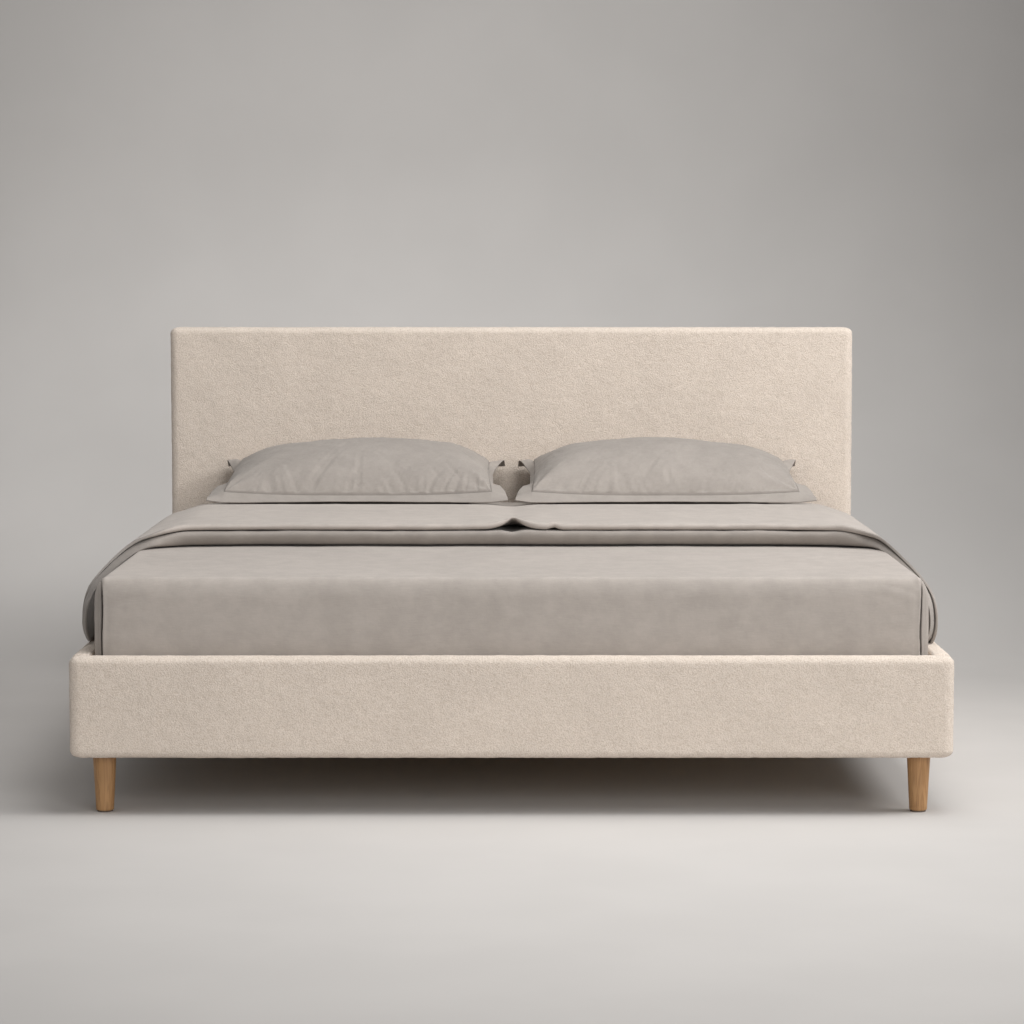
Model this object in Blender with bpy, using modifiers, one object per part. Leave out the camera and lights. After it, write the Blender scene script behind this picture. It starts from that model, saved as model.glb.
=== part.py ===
"""Upholstered double bed with a plain headboard, on four tapered legs.

The frame is timber boards in padded covers, joined by corner blocks and steel angles, with flat slats on
ledges and a centre beam. The bedding is a mattress in a fitted sheet, a thin cover turned back on itself
and two flanged pillows. Metres, +Z up, the foot of the bed at -Y, the origin on the floor at the middle.
"""

import math

import bmesh
import bpy
from mathutils import Matrix, Vector
from mathutils.geometry import interpolate_bezier

OBJECT_NAME = "upholstered_bed"

# gaps between pieces that touch or run in each other
TOUCH = 0.0003
RUN = 0.0006

WELD = 0.0005  # how far a joined form runs into its neighbour
THREAD_CHAMFER = 0.001

# mattress, which the frame is built round
MATTRESS_WIDTH = 1.800
MATTRESS_LENGTH = 2.000
MATTRESS_HEIGHT = 0.217
MATTRESS_CORNER = 0.060
MATTRESS_EDGE = 0.045
MATTRESS_SIDE_ROOM = 0.014
MATTRESS_END_ROOM = 0.012

# rails
RAIL_DEPTH = 0.046
RAIL_HEIGHT = 0.222
RAIL_ABOVE_FLOOR = 0.128
RAIL_BOARD = 0.024
RAIL_WRAP = 0.006
RAIL_END_PAD = 0.016
RAIL_LIP = 0.002
RAIL_LIP_HEIGHT = 0.050
RAIL_CORNER = 0.026
RAIL_ROLL = 0.015

# headboard
HEADBOARD_HEIGHT = 1.020
HEADBOARD_DEPTH = 0.090
HEADBOARD_CORNER = 0.030
HEADBOARD_ROLL = 0.018
HEADBOARD_SKIN = 0.003
HEADBOARD_FOAM = 0.036
HEADBOARD_SIDE_FOAM = 0.012
HEADBOARD_PANEL = 0.006
HEADBOARD_BACK_CLOTH = 0.002
STILE_WIDTH = 0.070

# slats, their ledges and straps
SLAT_COUNT = 12
SLAT_WIDTH = 0.095
SLAT_THICKNESS = 0.018
SLAT_EDGE = 0.003
SLAT_END_ROOM = 0.004
SLAT_DROP = 0.056
FIRST_SLAT_INSET = 0.062
LEDGE_WIDTH = 0.030
LEDGE_HEIGHT = 0.030
LEDGE_END_ROOM = 0.006
STRAP_WIDTH = 0.030
STRAP_THICKNESS = 0.0015
STRAP_OFFSET = 0.450

# corners and legs
BLOCK_SIDE = 0.110
BLOCK_HEIGHT = 0.034
BLOCK_CHAMFER = 0.050
ANGLE_SIDE = 0.045
ANGLE_THICKNESS = 0.003
ANGLE_HEIGHT = 0.070
ANGLE_ABOVE_BLOCK = 0.004
BOLT_HEAD_RADIUS = 0.0065
BOLT_HEAD_HEIGHT = 0.005
BOLT_SPACING = 0.036
LEG_TOP_RADIUS = 0.026
LEG_BOTTOM_RADIUS = 0.0195
LEG_SHOULDER = 0.0025
LEG_OFFSET = 0.026
LEG_BOLT_RADIUS = 0.004
LEG_BOLT_LENGTH = 0.026
LEG_BOLT_END_ROOM = 0.0024
GLIDE_RADIUS = 0.017
GLIDE_HEIGHT = 0.003

# centre beam, its saddles and its leg
BEAM_WIDTH = 0.045
BEAM_HEIGHT = 0.050
BEAM_END_ROOM = 0.003
SADDLE_THICKNESS = 0.0025
SADDLE_REACH = 0.032
SADDLE_EAR = 0.018
CENTRE_LEG_RADIUS = 0.015
CENTRE_LEG_FLANGE_RADIUS = 0.022
CENTRE_LEG_FLANGE = 0.003
CENTRE_LEG_ABOVE_FLOOR = 0.034
STUD_RADIUS = 0.005
STUD_LENGTH = 0.052
STUD_BORE_DEPTH = 0.060
NUT_RADIUS = 0.0095
NUT_HEIGHT = 0.007
PAD_RADIUS = 0.020
PAD_HEIGHT = 0.010
PAD_EDGE = 0.002
PAD_SOCKET = 0.006
PAD_SOCKET_RADIUS = 0.0075
PAD_RIM = 0.0035

# sheet
SHEET_THICKNESS = 0.0012
SHEET_CORNER = 0.018
SHEET_BULGE = 0.009
SHEET_TUCK = 0.090
PLEAT_DEPTH = 0.008
PLEAT_HALF_WIDTH = 0.0035
SHEET_FADE = 0.6

# turned-back cover: its loft on the bed, its front edges measured from the foot end of the mattress
COVER_LOWER_LAYER = 0.038
COVER_UPPER_LAYER = 0.015
COVER_FOLD_GAP = 0.002
COVER_LOWER_EDGE = 0.750
COVER_UPPER_EDGE = 0.756
COVER_HEAD_ROOM = 0.030
COVER_SIDE_SHARE = 0.46
COVER_SIDE_START = 0.780
COVER_SIDE_END = 0.920
COVER_HEAD_SHARE = 0.28
COVER_HEAD_START = 1.350
COVER_SWEEP = 0.590
COVER_SWEEP_START = 0.500
COVER_SWEEP_ON_TOP = 0.22
COVER_SWEEP_EASE = 0.12
COVER_TIP_ROUND = 0.035
COVER_STAND_OFF = 0.035
COVER_HEM_STAND_OFF = 0.024
COVER_HEM_SHARE = 0.60
COVER_NOTCH_WIDTH = 0.032
COVER_NOTCH_LIFT = 0.014
COVER_NOTCH_DEPTH = 0.050
COVER_FOLD_SLOPE = 0.100

# pillows
PILLOW_WIDTH = 0.795
PILLOW_DEPTH = 0.560
PILLOW_FLANGE = 0.042
PILLOW_FLANGE_THICKNESS = 0.004
PILLOW_RISE = 0.112
PILLOW_SAG = 0.090
PILLOW_TILT = math.radians(6.0)
PILLOW_END_LIFT = 0.042
PILLOW_BACK_DRAW = 0.008
PILLOW_SIDE_DRAW = 0.022
PILLOW_END_DRAW = 0.030
PILLOW_SPACING = 0.020
PILLOW_HEAD_ROOM = 0.008
PILLOW_MOUTH = 0.0012
PILLOW_MOUTH_SHARE = 0.60
PILLOW_CROWN_ACROSS = 2.4
PILLOW_CROWN_ALONG = 2.2
PILLOW_FALL = 0.64
CASE_SHARE = 0.984
INSERT_SHARE = 0.976

# places that follow from the sizes above
INNER_WIDTH = MATTRESS_WIDTH + 2 * MATTRESS_SIDE_ROOM
BED_WIDTH = INNER_WIDTH + 2 * RAIL_DEPTH
BED_LENGTH = RAIL_DEPTH + MATTRESS_LENGTH + 2 * MATTRESS_END_ROOM + HEADBOARD_DEPTH
FOOT_Y = -BED_LENGTH / 2
HEAD_Y = BED_LENGTH / 2
FOOT_INNER_Y = FOOT_Y + RAIL_DEPTH
HEAD_FACE_Y = HEAD_Y - HEADBOARD_DEPTH
RAIL_TOP = RAIL_ABOVE_FLOOR + RAIL_HEIGHT
BOARD_FACE = RAIL_DEPTH - RAIL_LIP
SLAT_TOP = RAIL_TOP - SLAT_DROP
SLAT_BOTTOM = SLAT_TOP - SLAT_THICKNESS
LEDGE_TOP = SLAT_BOTTOM - TOUCH
BLOCK_BOTTOM = RAIL_ABOVE_FLOOR + TOUCH
LEG_TOP = RAIL_ABOVE_FLOOR - TOUCH
MATTRESS_BOTTOM = SLAT_TOP + SHEET_THICKNESS + 2 * TOUCH + RUN
MATTRESS_TOP = MATTRESS_BOTTOM + MATTRESS_HEIGHT
MATTRESS_FOOT_Y = FOOT_INNER_Y + MATTRESS_END_ROOM
MATTRESS_MIDDLE_Y = MATTRESS_FOOT_Y + MATTRESS_LENGTH / 2
SHEET_OUT = RUN + SHEET_THICKNESS
SHEET_TOP = MATTRESS_TOP + SHEET_OUT
COVER_BOTTOM = SHEET_TOP + TOUCH
COVER_THICKNESS = COVER_LOWER_LAYER + COVER_FOLD_GAP + COVER_UPPER_LAYER
COVER_TOP = COVER_BOTTOM + COVER_THICKNESS
COVER_TAPER_Y = MATTRESS_FOOT_Y + COVER_HEAD_START
COVER_HEAD_Y = MATTRESS_FOOT_Y + MATTRESS_LENGTH - COVER_HEAD_ROOM
COVER_SLOPE = COVER_THICKNESS * (1 - COVER_HEAD_SHARE) / (COVER_HEAD_Y - COVER_TAPER_Y)

parts = bpy.data.collections.new(OBJECT_NAME)
cutters = bpy.data.collections.new("cutters")


def clear_scene():
    for obj in list(bpy.data.objects):
        bpy.data.objects.remove(obj, do_unlink=True)
    for collection in (parts, cutters):
        bpy.context.scene.collection.children.link(collection)
    cutters.hide_render = True


def make_material(name, colour, roughness, metallic=0.0):
    material = bpy.data.materials.new(name)
    material.use_nodes = True
    shader = material.node_tree.nodes["Principled BSDF"]
    shader.inputs["Base Color"].default_value = (*colour, 1.0)
    shader.inputs["Roughness"].default_value = roughness
    shader.inputs["Metallic"].default_value = metallic
    return material


def add_object(name, mesh, material, location=(0.0, 0.0, 0.0)):
    """A part, with a copy of the material under the part's own name."""
    obj = bpy.data.objects.new(name, mesh)
    own = material.copy()
    own.name = name
    mesh.materials.append(own)
    obj.location = location
    parts.objects.link(obj)
    return obj


def add_cutter(name, mesh, location=(0.0, 0.0, 0.0)):
    obj = bpy.data.objects.new(name, mesh)
    obj.location = location
    obj.hide_render = True
    obj.display_type = "WIRE"
    cutters.objects.link(obj)
    return obj


def mesh_from(bm, name):
    mesh = bpy.data.meshes.new(name)
    bmesh.ops.recalc_face_normals(bm, faces=bm.faces)
    bm.to_mesh(mesh)
    bm.free()
    return mesh


def box_mesh(name, low, high):
    """A box between two corners, in the object's own space."""
    low, high = Vector(low), Vector(high)
    bm = bmesh.new()
    place = Matrix.Translation((low + high) / 2) @ Matrix.Diagonal((*(high - low), 1.0))
    bmesh.ops.create_cube(bm, size=1.0, matrix=place)
    return mesh_from(bm, name)


def add_box(name, material, low, high, edge=0.0):
    """A box between two corners of the bed's own space, its origin at its middle."""
    low, high = Vector(low), Vector(high)
    middle = (low + high) / 2
    obj = add_object(name, box_mesh(name, low - middle, high - middle), material, middle)
    if edge:
        bevel = obj.modifiers.new("edges", "BEVEL")
        bevel.width = edge
        bevel.segments = 1
    return obj


def cut(obj, cutter):
    boolean = obj.modifiers.new(cutter.name, "BOOLEAN")
    boolean.operation = "DIFFERENCE"
    boolean.object = cutter


def cut_box(obj, name, low, high):
    cut(obj, add_cutter(name, box_mesh(name, low, high)))


def fuse(obj, other):
    boolean = obj.modifiers.new(other.name, "BOOLEAN")
    boolean.operation = "UNION"
    boolean.object = other


def prism(bm, sides, radius, depth, place):
    """A capped prism about its own Z, moved by the matrix."""
    radii = {"radius1": radius, "radius2": radius}
    bmesh.ops.create_cone(bm, cap_ends=True, segments=sides, depth=depth, matrix=place, **radii)


def smooth(obj, angle=40.0):
    obj.data.shade_smooth()
    obj.data.set_sharp_from_angle(angle=math.radians(angle))


def turned(name, material, profile, location, steps=24):
    """A solid of revolution about Z: the profile of (radius, height) runs down the outside, top to bottom."""
    bm = bmesh.new()
    verts = [bm.verts.new((radius, 0.0, height)) for radius, height in profile]
    for start, end in zip(verts, verts[1:]):
        bm.edges.new((start, end))
    mesh = bpy.data.meshes.new(name)
    bm.to_mesh(mesh)
    bm.free()
    obj = add_object(name, mesh, material, location)
    screw = obj.modifiers.new("turn", "SCREW")
    screw.steps = screw.render_steps = steps
    screw.use_merge_vertices = True
    screw.merge_threshold = 0.00001
    screw.use_smooth_shade = True
    return obj


def round_edges(bm, chosen, radius, segments):
    """Rounds the edges that the test picks out by their two ends."""
    edges = [e for e in bm.edges if chosen(e.verts[0].co, e.verts[1].co)]
    bmesh.ops.bevel(bm, geom=edges, offset=radius, segments=segments, profile=0.5, affect="EDGES")


def cushion_box(size, corner_axis, corners, corner_radius, roll_test, roll_radius, segments):
    """A box whose chosen corner edges are rounded first and whose outline edges are rolled over after."""
    bm = bmesh.new()
    bmesh.ops.create_cube(bm, size=1.0, matrix=Matrix.Diagonal((*size, 1.0)))

    def is_corner(a, b):
        along = abs(a[corner_axis] - b[corner_axis]) > 0.5 * size[corner_axis]
        return along and corners((a + b) / 2)

    round_edges(bm, is_corner, corner_radius, segments)
    round_edges(bm, roll_test, roll_radius, segments)
    return bm


# ------------------------------------------------------------------ headboard


def headboard_form(inset):
    """The headboard's outer form, drawn in by an inset: face at -Y, top corners and face edges rounded."""
    height = HEADBOARD_HEIGHT - RAIL_ABOVE_FLOOR - 2 * inset
    size = Vector((BED_WIDTH - 2 * inset, HEADBOARD_DEPTH - inset, height))
    face = -size.y / 2

    def on_face(a, b):
        return max(a.y, b.y) < face + 1e-5

    corner = HEADBOARD_CORNER - inset
    bm = cushion_box(size, 1, lambda middle: True, corner, on_face, HEADBOARD_ROLL - inset, 4)
    centre = Vector((0.0, HEAD_Y - size.y / 2, (HEADBOARD_HEIGHT + RAIL_ABOVE_FLOOR) / 2))
    return bm, centre


def headboard_cover(material):
    bm, centre = headboard_form(0.0)
    back = max(v.co.y for v in bm.verts)
    back_faces = [f for f in bm.faces if min(v.co.y for v in f.verts) > back - 1e-5]
    bmesh.ops.delete(bm, geom=back_faces, context="FACES")
    obj = add_object("headboard_cover", mesh_from(bm, "headboard_cover"), material, centre)
    shell = obj.modifiers.new("skin", "SOLIDIFY")
    shell.thickness = HEADBOARD_SKIN
    shell.offset = -1.0
    shell.use_even_offset = True
    smooth(obj)


def headboard_pocket():
    """Low and high corners of the room inside the foam, which the timber frame and the face panel fill."""
    side = BED_WIDTH / 2 - HEADBOARD_SKIN - RUN - HEADBOARD_SIDE_FOAM
    low_z = RAIL_ABOVE_FLOOR + HEADBOARD_SKIN + RUN + HEADBOARD_SIDE_FOAM
    high_z = HEADBOARD_HEIGHT - HEADBOARD_SKIN - RUN - HEADBOARD_SIDE_FOAM
    front = HEAD_FACE_Y + HEADBOARD_SKIN + RUN + HEADBOARD_FOAM
    return Vector((-side, front, low_z)), Vector((side, HEAD_Y, high_z))


def headboard_foam(material):
    bm, centre = headboard_form(HEADBOARD_SKIN + RUN)
    bmesh.ops.translate(bm, vec=centre, verts=bm.verts)
    obj = add_object("headboard_foam", mesh_from(bm, "headboard_foam"), material)
    back = HEAD_Y - HEADBOARD_BACK_CLOTH - TOUCH
    low, high = headboard_pocket()
    cut_box(obj, "foam_pocket", low, high + Vector((0.0, HEADBOARD_SKIN, 0.0)))
    reach = Vector((BED_WIDTH, HEADBOARD_DEPTH, HEADBOARD_HEIGHT))
    cut_box(obj, "foam_back", (-reach.x, back, -reach.z), (reach.x, HEAD_Y + reach.y, 2 * reach.z))


def headboard_timber(board, panel, cloth):
    low, high = headboard_pocket()
    low, high = low + Vector((TOUCH,) * 3), high - Vector((TOUCH, 0.0, TOUCH))
    back = HEAD_Y - HEADBOARD_BACK_CLOTH - TOUCH
    front = low.y + HEADBOARD_PANEL
    add_box("headboard_face_panel", panel, low, (high.x, front, high.z))
    front += TOUCH
    for side, name in ((-1, "left"), (1, "right")):
        outer, inner = side * high.x, side * (high.x - STILE_WIDTH)
        x_low, x_high = min(outer, inner), max(outer, inner)
        add_box(f"headboard_stile_{name}", board, (x_low, front, low.z), (x_high, back, high.z))
    reach = high.x - STILE_WIDTH - TOUCH
    add_box("headboard_bottom_rail", board, (-reach, front, low.z), (reach, back, low.z + STILE_WIDTH))
    add_box("headboard_top_rail", board, (-reach, front, high.z - STILE_WIDTH), (reach, back, high.z))
    room = HEADBOARD_SKIN + RUN
    side, corner = BED_WIDTH / 2 - room, HEADBOARD_CORNER - room
    bm = bmesh.new()
    size = Vector((2 * side, HEADBOARD_BACK_CLOTH, HEADBOARD_HEIGHT - RAIL_ABOVE_FLOOR - 2 * room))
    bmesh.ops.create_cube(bm, size=1.0, matrix=Matrix.Diagonal((*size, 1.0)))
    round_edges(bm, lambda a, b: abs(a.y - b.y) > size.y / 2, corner, 4)
    centre = (0.0, HEAD_Y - size.y / 2, (HEADBOARD_HEIGHT + RAIL_ABOVE_FLOOR) / 2)
    add_object("headboard_back_cloth", mesh_from(bm, "headboard_back_cloth"), cloth, centre)


# ---------------------------------------------------------------------- rails


def foot_rail(cover, board):
    """A board in a padded cover that wraps its ends, top and underside, and returns behind its top edge."""
    size = Vector((BED_WIDTH, RAIL_DEPTH, RAIL_HEIGHT))

    def on_outline(a, b):
        flat = abs(a.z - b.z) < 1e-5 and abs(a.z) > size.z / 2 - 1e-5
        return flat and min(a.y, b.y) < size.y / 2 - 1e-5

    bm = cushion_box(size, 2, lambda m: m.y < 0, RAIL_CORNER, on_outline, RAIL_ROLL, 4)
    centre = Vector((0.0, FOOT_Y + RAIL_DEPTH / 2, RAIL_ABOVE_FLOOR + RAIL_HEIGHT / 2))
    bmesh.ops.translate(bm, vec=centre, verts=bm.verts)
    obj = add_object("foot_rail_cover", mesh_from(bm, "foot_rail_cover"), cover)
    smooth(obj)
    reach = BED_WIDTH / 2 - RAIL_END_PAD
    front, back = FOOT_Y + BOARD_FACE - RAIL_BOARD, FOOT_Y + BOARD_FACE
    low, high = RAIL_ABOVE_FLOOR + RAIL_WRAP, RAIL_TOP - RAIL_WRAP
    cut_box(obj, "foot_rail_room", (-reach, front, low), (reach, back, high))
    beyond = (reach, back + RAIL_DEPTH, RAIL_TOP - RAIL_LIP_HEIGHT)
    cut_box(obj, "foot_rail_back", (-reach, back - RAIL_LIP, -RAIL_ABOVE_FLOOR), beyond)
    room = Vector((TOUCH,) * 3)
    low_corner = Vector((-reach, front, low)) + room
    add_box("foot_rail_board", board, low_corner, (reach - TOUCH, back - TOUCH, high - TOUCH))


def side_rail(side, name, cover, board):
    """A board in a padded cover, open at both ends, with the slats' ledge along its inner face."""
    length = HEAD_FACE_Y - FOOT_INNER_Y - 2 * TOUCH
    size = Vector((RAIL_DEPTH, length, RAIL_HEIGHT))

    def on_outer_edge(a, b):
        along = abs(a.y - b.y) > size.y / 2
        return along and a.x * side > 0 and b.x * side > 0

    bm = bmesh.new()
    bmesh.ops.create_cube(bm, size=1.0, matrix=Matrix.Diagonal((*size, 1.0)))
    round_edges(bm, on_outer_edge, RAIL_ROLL, 4)
    middle_y = (HEAD_FACE_Y + FOOT_INNER_Y) / 2
    centre = Vector((side * (BED_WIDTH / 2 - RAIL_DEPTH / 2), middle_y, RAIL_ABOVE_FLOOR + RAIL_HEIGHT / 2))
    bmesh.ops.translate(bm, vec=centre, verts=bm.verts)
    obj = add_object(f"side_rail_cover_{name}", mesh_from(bm, f"side_rail_cover_{name}"), cover)
    smooth(obj)
    outer = BED_WIDTH / 2 - BOARD_FACE + RAIL_BOARD
    inner = BED_WIDTH / 2 - BOARD_FACE
    low, high = RAIL_ABOVE_FLOOR + RAIL_WRAP, RAIL_TOP - RAIL_WRAP

    def across(a, b, margin=0.0):
        return min(side * a, side * b) + margin, max(side * a, side * b) - margin

    x_low, x_high = across(inner, outer)
    past = length
    cut_box(obj, f"side_rail_room_{name}", (x_low, -past, low), (x_high, past, high))
    x_low, x_high = across(inner + RAIL_LIP, inner - RAIL_DEPTH)
    top = RAIL_TOP - RAIL_LIP_HEIGHT
    cut_box(obj, f"side_rail_back_{name}", (x_low, -past, -RAIL_ABOVE_FLOOR), (x_high, past, top))
    x_low, x_high = across(inner, outer, TOUCH)
    ends = middle_y - length / 2, middle_y + length / 2
    low_corner, high_corner = (x_low, ends[0], low + TOUCH), (x_high, ends[1], high - TOUCH)
    add_box(f"side_rail_board_{name}", board, low_corner, high_corner)
    x_low, x_high = across(inner, inner - LEDGE_WIDTH)
    low_corner = (x_low, FOOT_INNER_Y + LEDGE_END_ROOM, LEDGE_TOP - LEDGE_HEIGHT)
    high_corner = (x_high, HEAD_FACE_Y - LEDGE_END_ROOM, LEDGE_TOP)
    add_box(f"slat_ledge_{name}", board, low_corner, high_corner)


# ------------------------------------------------------------ corners and legs


def corner_block(name, corner, turn, board):
    """A timber block in the frame's corner, cut across its inner corner and bored for the leg's bolt."""
    bm = bmesh.new()
    side = BLOCK_SIDE
    cut_to = side - BLOCK_CHAMFER
    outline = ((0, 0), (side, 0), (side, cut_to), (cut_to, side), (0, side))
    base = [bm.verts.new((turn.x * (x + TOUCH), turn.y * (y + TOUCH), 0.0)) for x, y in outline]
    face = bm.faces.new(base)
    raised = bmesh.ops.extrude_face_region(bm, geom=[face])
    lifted = [v for v in raised["geom"] if isinstance(v, bmesh.types.BMVert)]
    bmesh.ops.translate(bm, vec=(0.0, 0.0, BLOCK_HEIGHT), verts=lifted)
    bmesh.ops.translate(bm, vec=(corner.x, corner.y, BLOCK_BOTTOM), verts=bm.verts)
    obj = add_object(f"corner_block_{name}", mesh_from(bm, f"corner_block_{name}"), board)
    bore = bmesh.new()
    depth = LEG_BOLT_LENGTH + LEG_BOLT_END_ROOM
    place = Matrix.Translation((*leg_place(corner, turn), BLOCK_BOTTOM))
    radius = LEG_BOLT_RADIUS + RUN
    prism(bore, 16, radius, 2 * depth, place)
    cut(obj, add_cutter(f"leg_bolt_bore_{name}", mesh_from(bore, f"leg_bolt_bore_{name}")))


def leg_place(corner, turn):
    return corner.x + turn.x * LEG_OFFSET, corner.y + turn.y * LEG_OFFSET


def leg(name, corner, turn, wood, felt):
    """A tapered round leg with its bolt on top, and the felt glide under it."""
    x, y = leg_place(corner, turn)
    foot = GLIDE_HEIGHT + TOUCH
    soft = LEG_SHOULDER
    profile = (
        (0.0, LEG_TOP + LEG_BOLT_LENGTH),
        (LEG_BOLT_RADIUS - THREAD_CHAMFER, LEG_TOP + LEG_BOLT_LENGTH),
        (LEG_BOLT_RADIUS, LEG_TOP + LEG_BOLT_LENGTH - THREAD_CHAMFER),
        (LEG_BOLT_RADIUS, LEG_TOP),
        (LEG_TOP_RADIUS - soft / 3, LEG_TOP),
        (LEG_TOP_RADIUS, LEG_TOP - soft / 3),
        (LEG_BOTTOM_RADIUS, foot + soft),
        (LEG_BOTTOM_RADIUS - soft / 4, foot + soft / 3),
        (LEG_BOTTOM_RADIUS - soft, foot),
        (0.0, foot),
    )
    turned(f"leg_{name}", wood, profile, (x, y, 0.0))
    profile = ((0.0, GLIDE_HEIGHT), (GLIDE_RADIUS, GLIDE_HEIGHT), (GLIDE_RADIUS, 0.0), (0.0, 0.0))
    turned(f"leg_glide_{name}", felt, profile, (x, y, 0.0), steps=20)


def corner_angle(name, corner, turn, steel):
    """A steel angle bolted to both inner faces of a corner, the four bolt heads fused to it."""
    low = BLOCK_BOTTOM + BLOCK_HEIGHT + ANGLE_ABOVE_BLOCK
    bm = bmesh.new()
    side, thick = ANGLE_SIDE, ANGLE_THICKNESS
    outline = ((0, 0), (side, 0), (side, thick), (thick, thick), (thick, side), (0, side))
    base = [bm.verts.new((turn.x * (x + TOUCH), turn.y * (y + TOUCH), 0.0)) for x, y in outline]
    raised = bmesh.ops.extrude_face_region(bm, geom=[bm.faces.new(base)])
    lifted = [v for v in raised["geom"] if isinstance(v, bmesh.types.BMVert)]
    bmesh.ops.translate(bm, vec=(0.0, 0.0, ANGLE_HEIGHT), verts=lifted)
    bmesh.ops.translate(bm, vec=(corner.x, corner.y, low), verts=bm.verts)
    obj = add_object(f"corner_angle_{name}", mesh_from(bm, f"corner_angle_{name}"), steel)
    along = thick + (side - thick) / 2
    out = thick + BOLT_HEAD_HEIGHT / 2 - WELD
    for level, rise in enumerate((-BOLT_SPACING / 2, BOLT_SPACING / 2)):
        z = low + ANGLE_HEIGHT / 2 + rise
        for face, (dx, dy, axis) in enumerate(((along, out, "X"), (out, along, "Y"))):
            head = bmesh.new()
            spin = Matrix.Rotation(math.radians(90.0), 4, axis)
            place = Matrix.Translation((corner.x + turn.x * dx, corner.y + turn.y * dy, z)) @ spin
            prism(head, 6, BOLT_HEAD_RADIUS, BOLT_HEAD_HEIGHT + 2 * WELD, place)
            fuse(obj, add_cutter(f"bolt_{name}_{level}_{face}", mesh_from(head, "bolt_head")))


def corners(board, steel, wood, felt):
    inner_x = BED_WIDTH / 2 - BOARD_FACE
    ends = (("front", FOOT_Y + BOARD_FACE, 1), ("rear", HEAD_FACE_Y, -1))
    for end, y, turn_y in ends:
        for side, hand in ((-1, "left"), (1, "right")):
            corner, turn = Vector((side * inner_x, y)), Vector((-side, turn_y))
            name = f"{end}_{hand}"
            corner_block(name, corner, turn, board)
            corner_angle(name, corner, turn, steel)
            leg(name, corner, turn, wood, felt)


# -------------------------------------------------------------- slats and beam


def slats(board, webbing):
    reach = BED_WIDTH / 2 - BOARD_FACE - SLAT_END_ROOM
    first = FOOT_INNER_Y + FIRST_SLAT_INSET
    last = HEAD_FACE_Y - FIRST_SLAT_INSET
    for i in range(SLAT_COUNT):
        y = first + (last - first) * i / (SLAT_COUNT - 1)
        low = (-reach, y - SLAT_WIDTH / 2, SLAT_BOTTOM)
        high = (reach, y + SLAT_WIDTH / 2, SLAT_TOP)
        add_box(f"slat_{i + 1:02d}", board, low, high, SLAT_EDGE)
    top = SLAT_BOTTOM - TOUCH
    for side, name in ((-1, "left"), (1, "right")):
        low = (side * STRAP_OFFSET - STRAP_WIDTH / 2, first - SLAT_WIDTH / 2, top - STRAP_THICKNESS)
        high = (side * STRAP_OFFSET + STRAP_WIDTH / 2, last + SLAT_WIDTH / 2, top)
        add_box(f"slat_strap_{name}", webbing, low, high)


def saddle(name, y, towards, steel):
    """A folded steel saddle on a rail's inner face, whose cradle carries the end of the beam."""
    thick = SADDLE_THICKNESS
    half = BEAM_WIDTH / 2 + TOUCH + thick
    base = LEDGE_TOP - BEAM_HEIGHT - TOUCH - thick
    start = y + towards * TOUCH
    plate_end = start + towards * thick

    def along(a, b):
        return min(a, b), max(a, b)

    y_low, y_high = along(start, plate_end)
    wide = half + SADDLE_EAR
    obj = add_box(f"beam_saddle_{name}", steel, (-wide, y_low, base), (wide, y_high, LEDGE_TOP))
    y_low, y_high = along(start + towards * thick / 2, start + towards * SADDLE_REACH)
    box = box_mesh(f"cradle_{name}", (-half, y_low, base), (half, y_high, LEDGE_TOP))
    fuse(obj, add_cutter(f"cradle_{name}", box))
    y_low, y_high = along(plate_end, start + towards * 2 * SADDLE_REACH)
    room = BEAM_WIDTH / 2 + TOUCH
    cut_box(obj, f"cradle_room_{name}", (-room, y_low, base + thick), (room, y_high, SLAT_TOP))


def centre_support(board, steel, plastic):
    foot_face, head_face = FOOT_Y + BOARD_FACE, HEAD_FACE_Y
    saddle("foot", foot_face, 1, steel)
    saddle("head", head_face, -1, steel)
    ends = BEAM_END_ROOM + SADDLE_THICKNESS
    low = (-BEAM_WIDTH / 2, foot_face + ends, LEDGE_TOP - BEAM_HEIGHT)
    add_box("centre_beam", board, low, (BEAM_WIDTH / 2, head_face - ends, LEDGE_TOP))
    y = (foot_face + head_face) / 2
    top = LEDGE_TOP - BEAM_HEIGHT - TOUCH
    bottom, bore = CENTRE_LEG_ABOVE_FLOOR, STUD_RADIUS + RUN
    profile = (
        (0.0, top),
        (CENTRE_LEG_FLANGE_RADIUS, top),
        (CENTRE_LEG_FLANGE_RADIUS, top - CENTRE_LEG_FLANGE),
        (CENTRE_LEG_RADIUS, top - CENTRE_LEG_FLANGE),
        (CENTRE_LEG_RADIUS, bottom + THREAD_CHAMFER),
        (CENTRE_LEG_RADIUS - THREAD_CHAMFER, bottom),
        (bore, bottom),
        (bore, bottom + STUD_BORE_DEPTH),
        (0.0, bottom + STUD_BORE_DEPTH),
    )
    turned("centre_leg", steel, profile, (0.0, y, 0.0))
    levelling_foot(y, steel, plastic)


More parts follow.
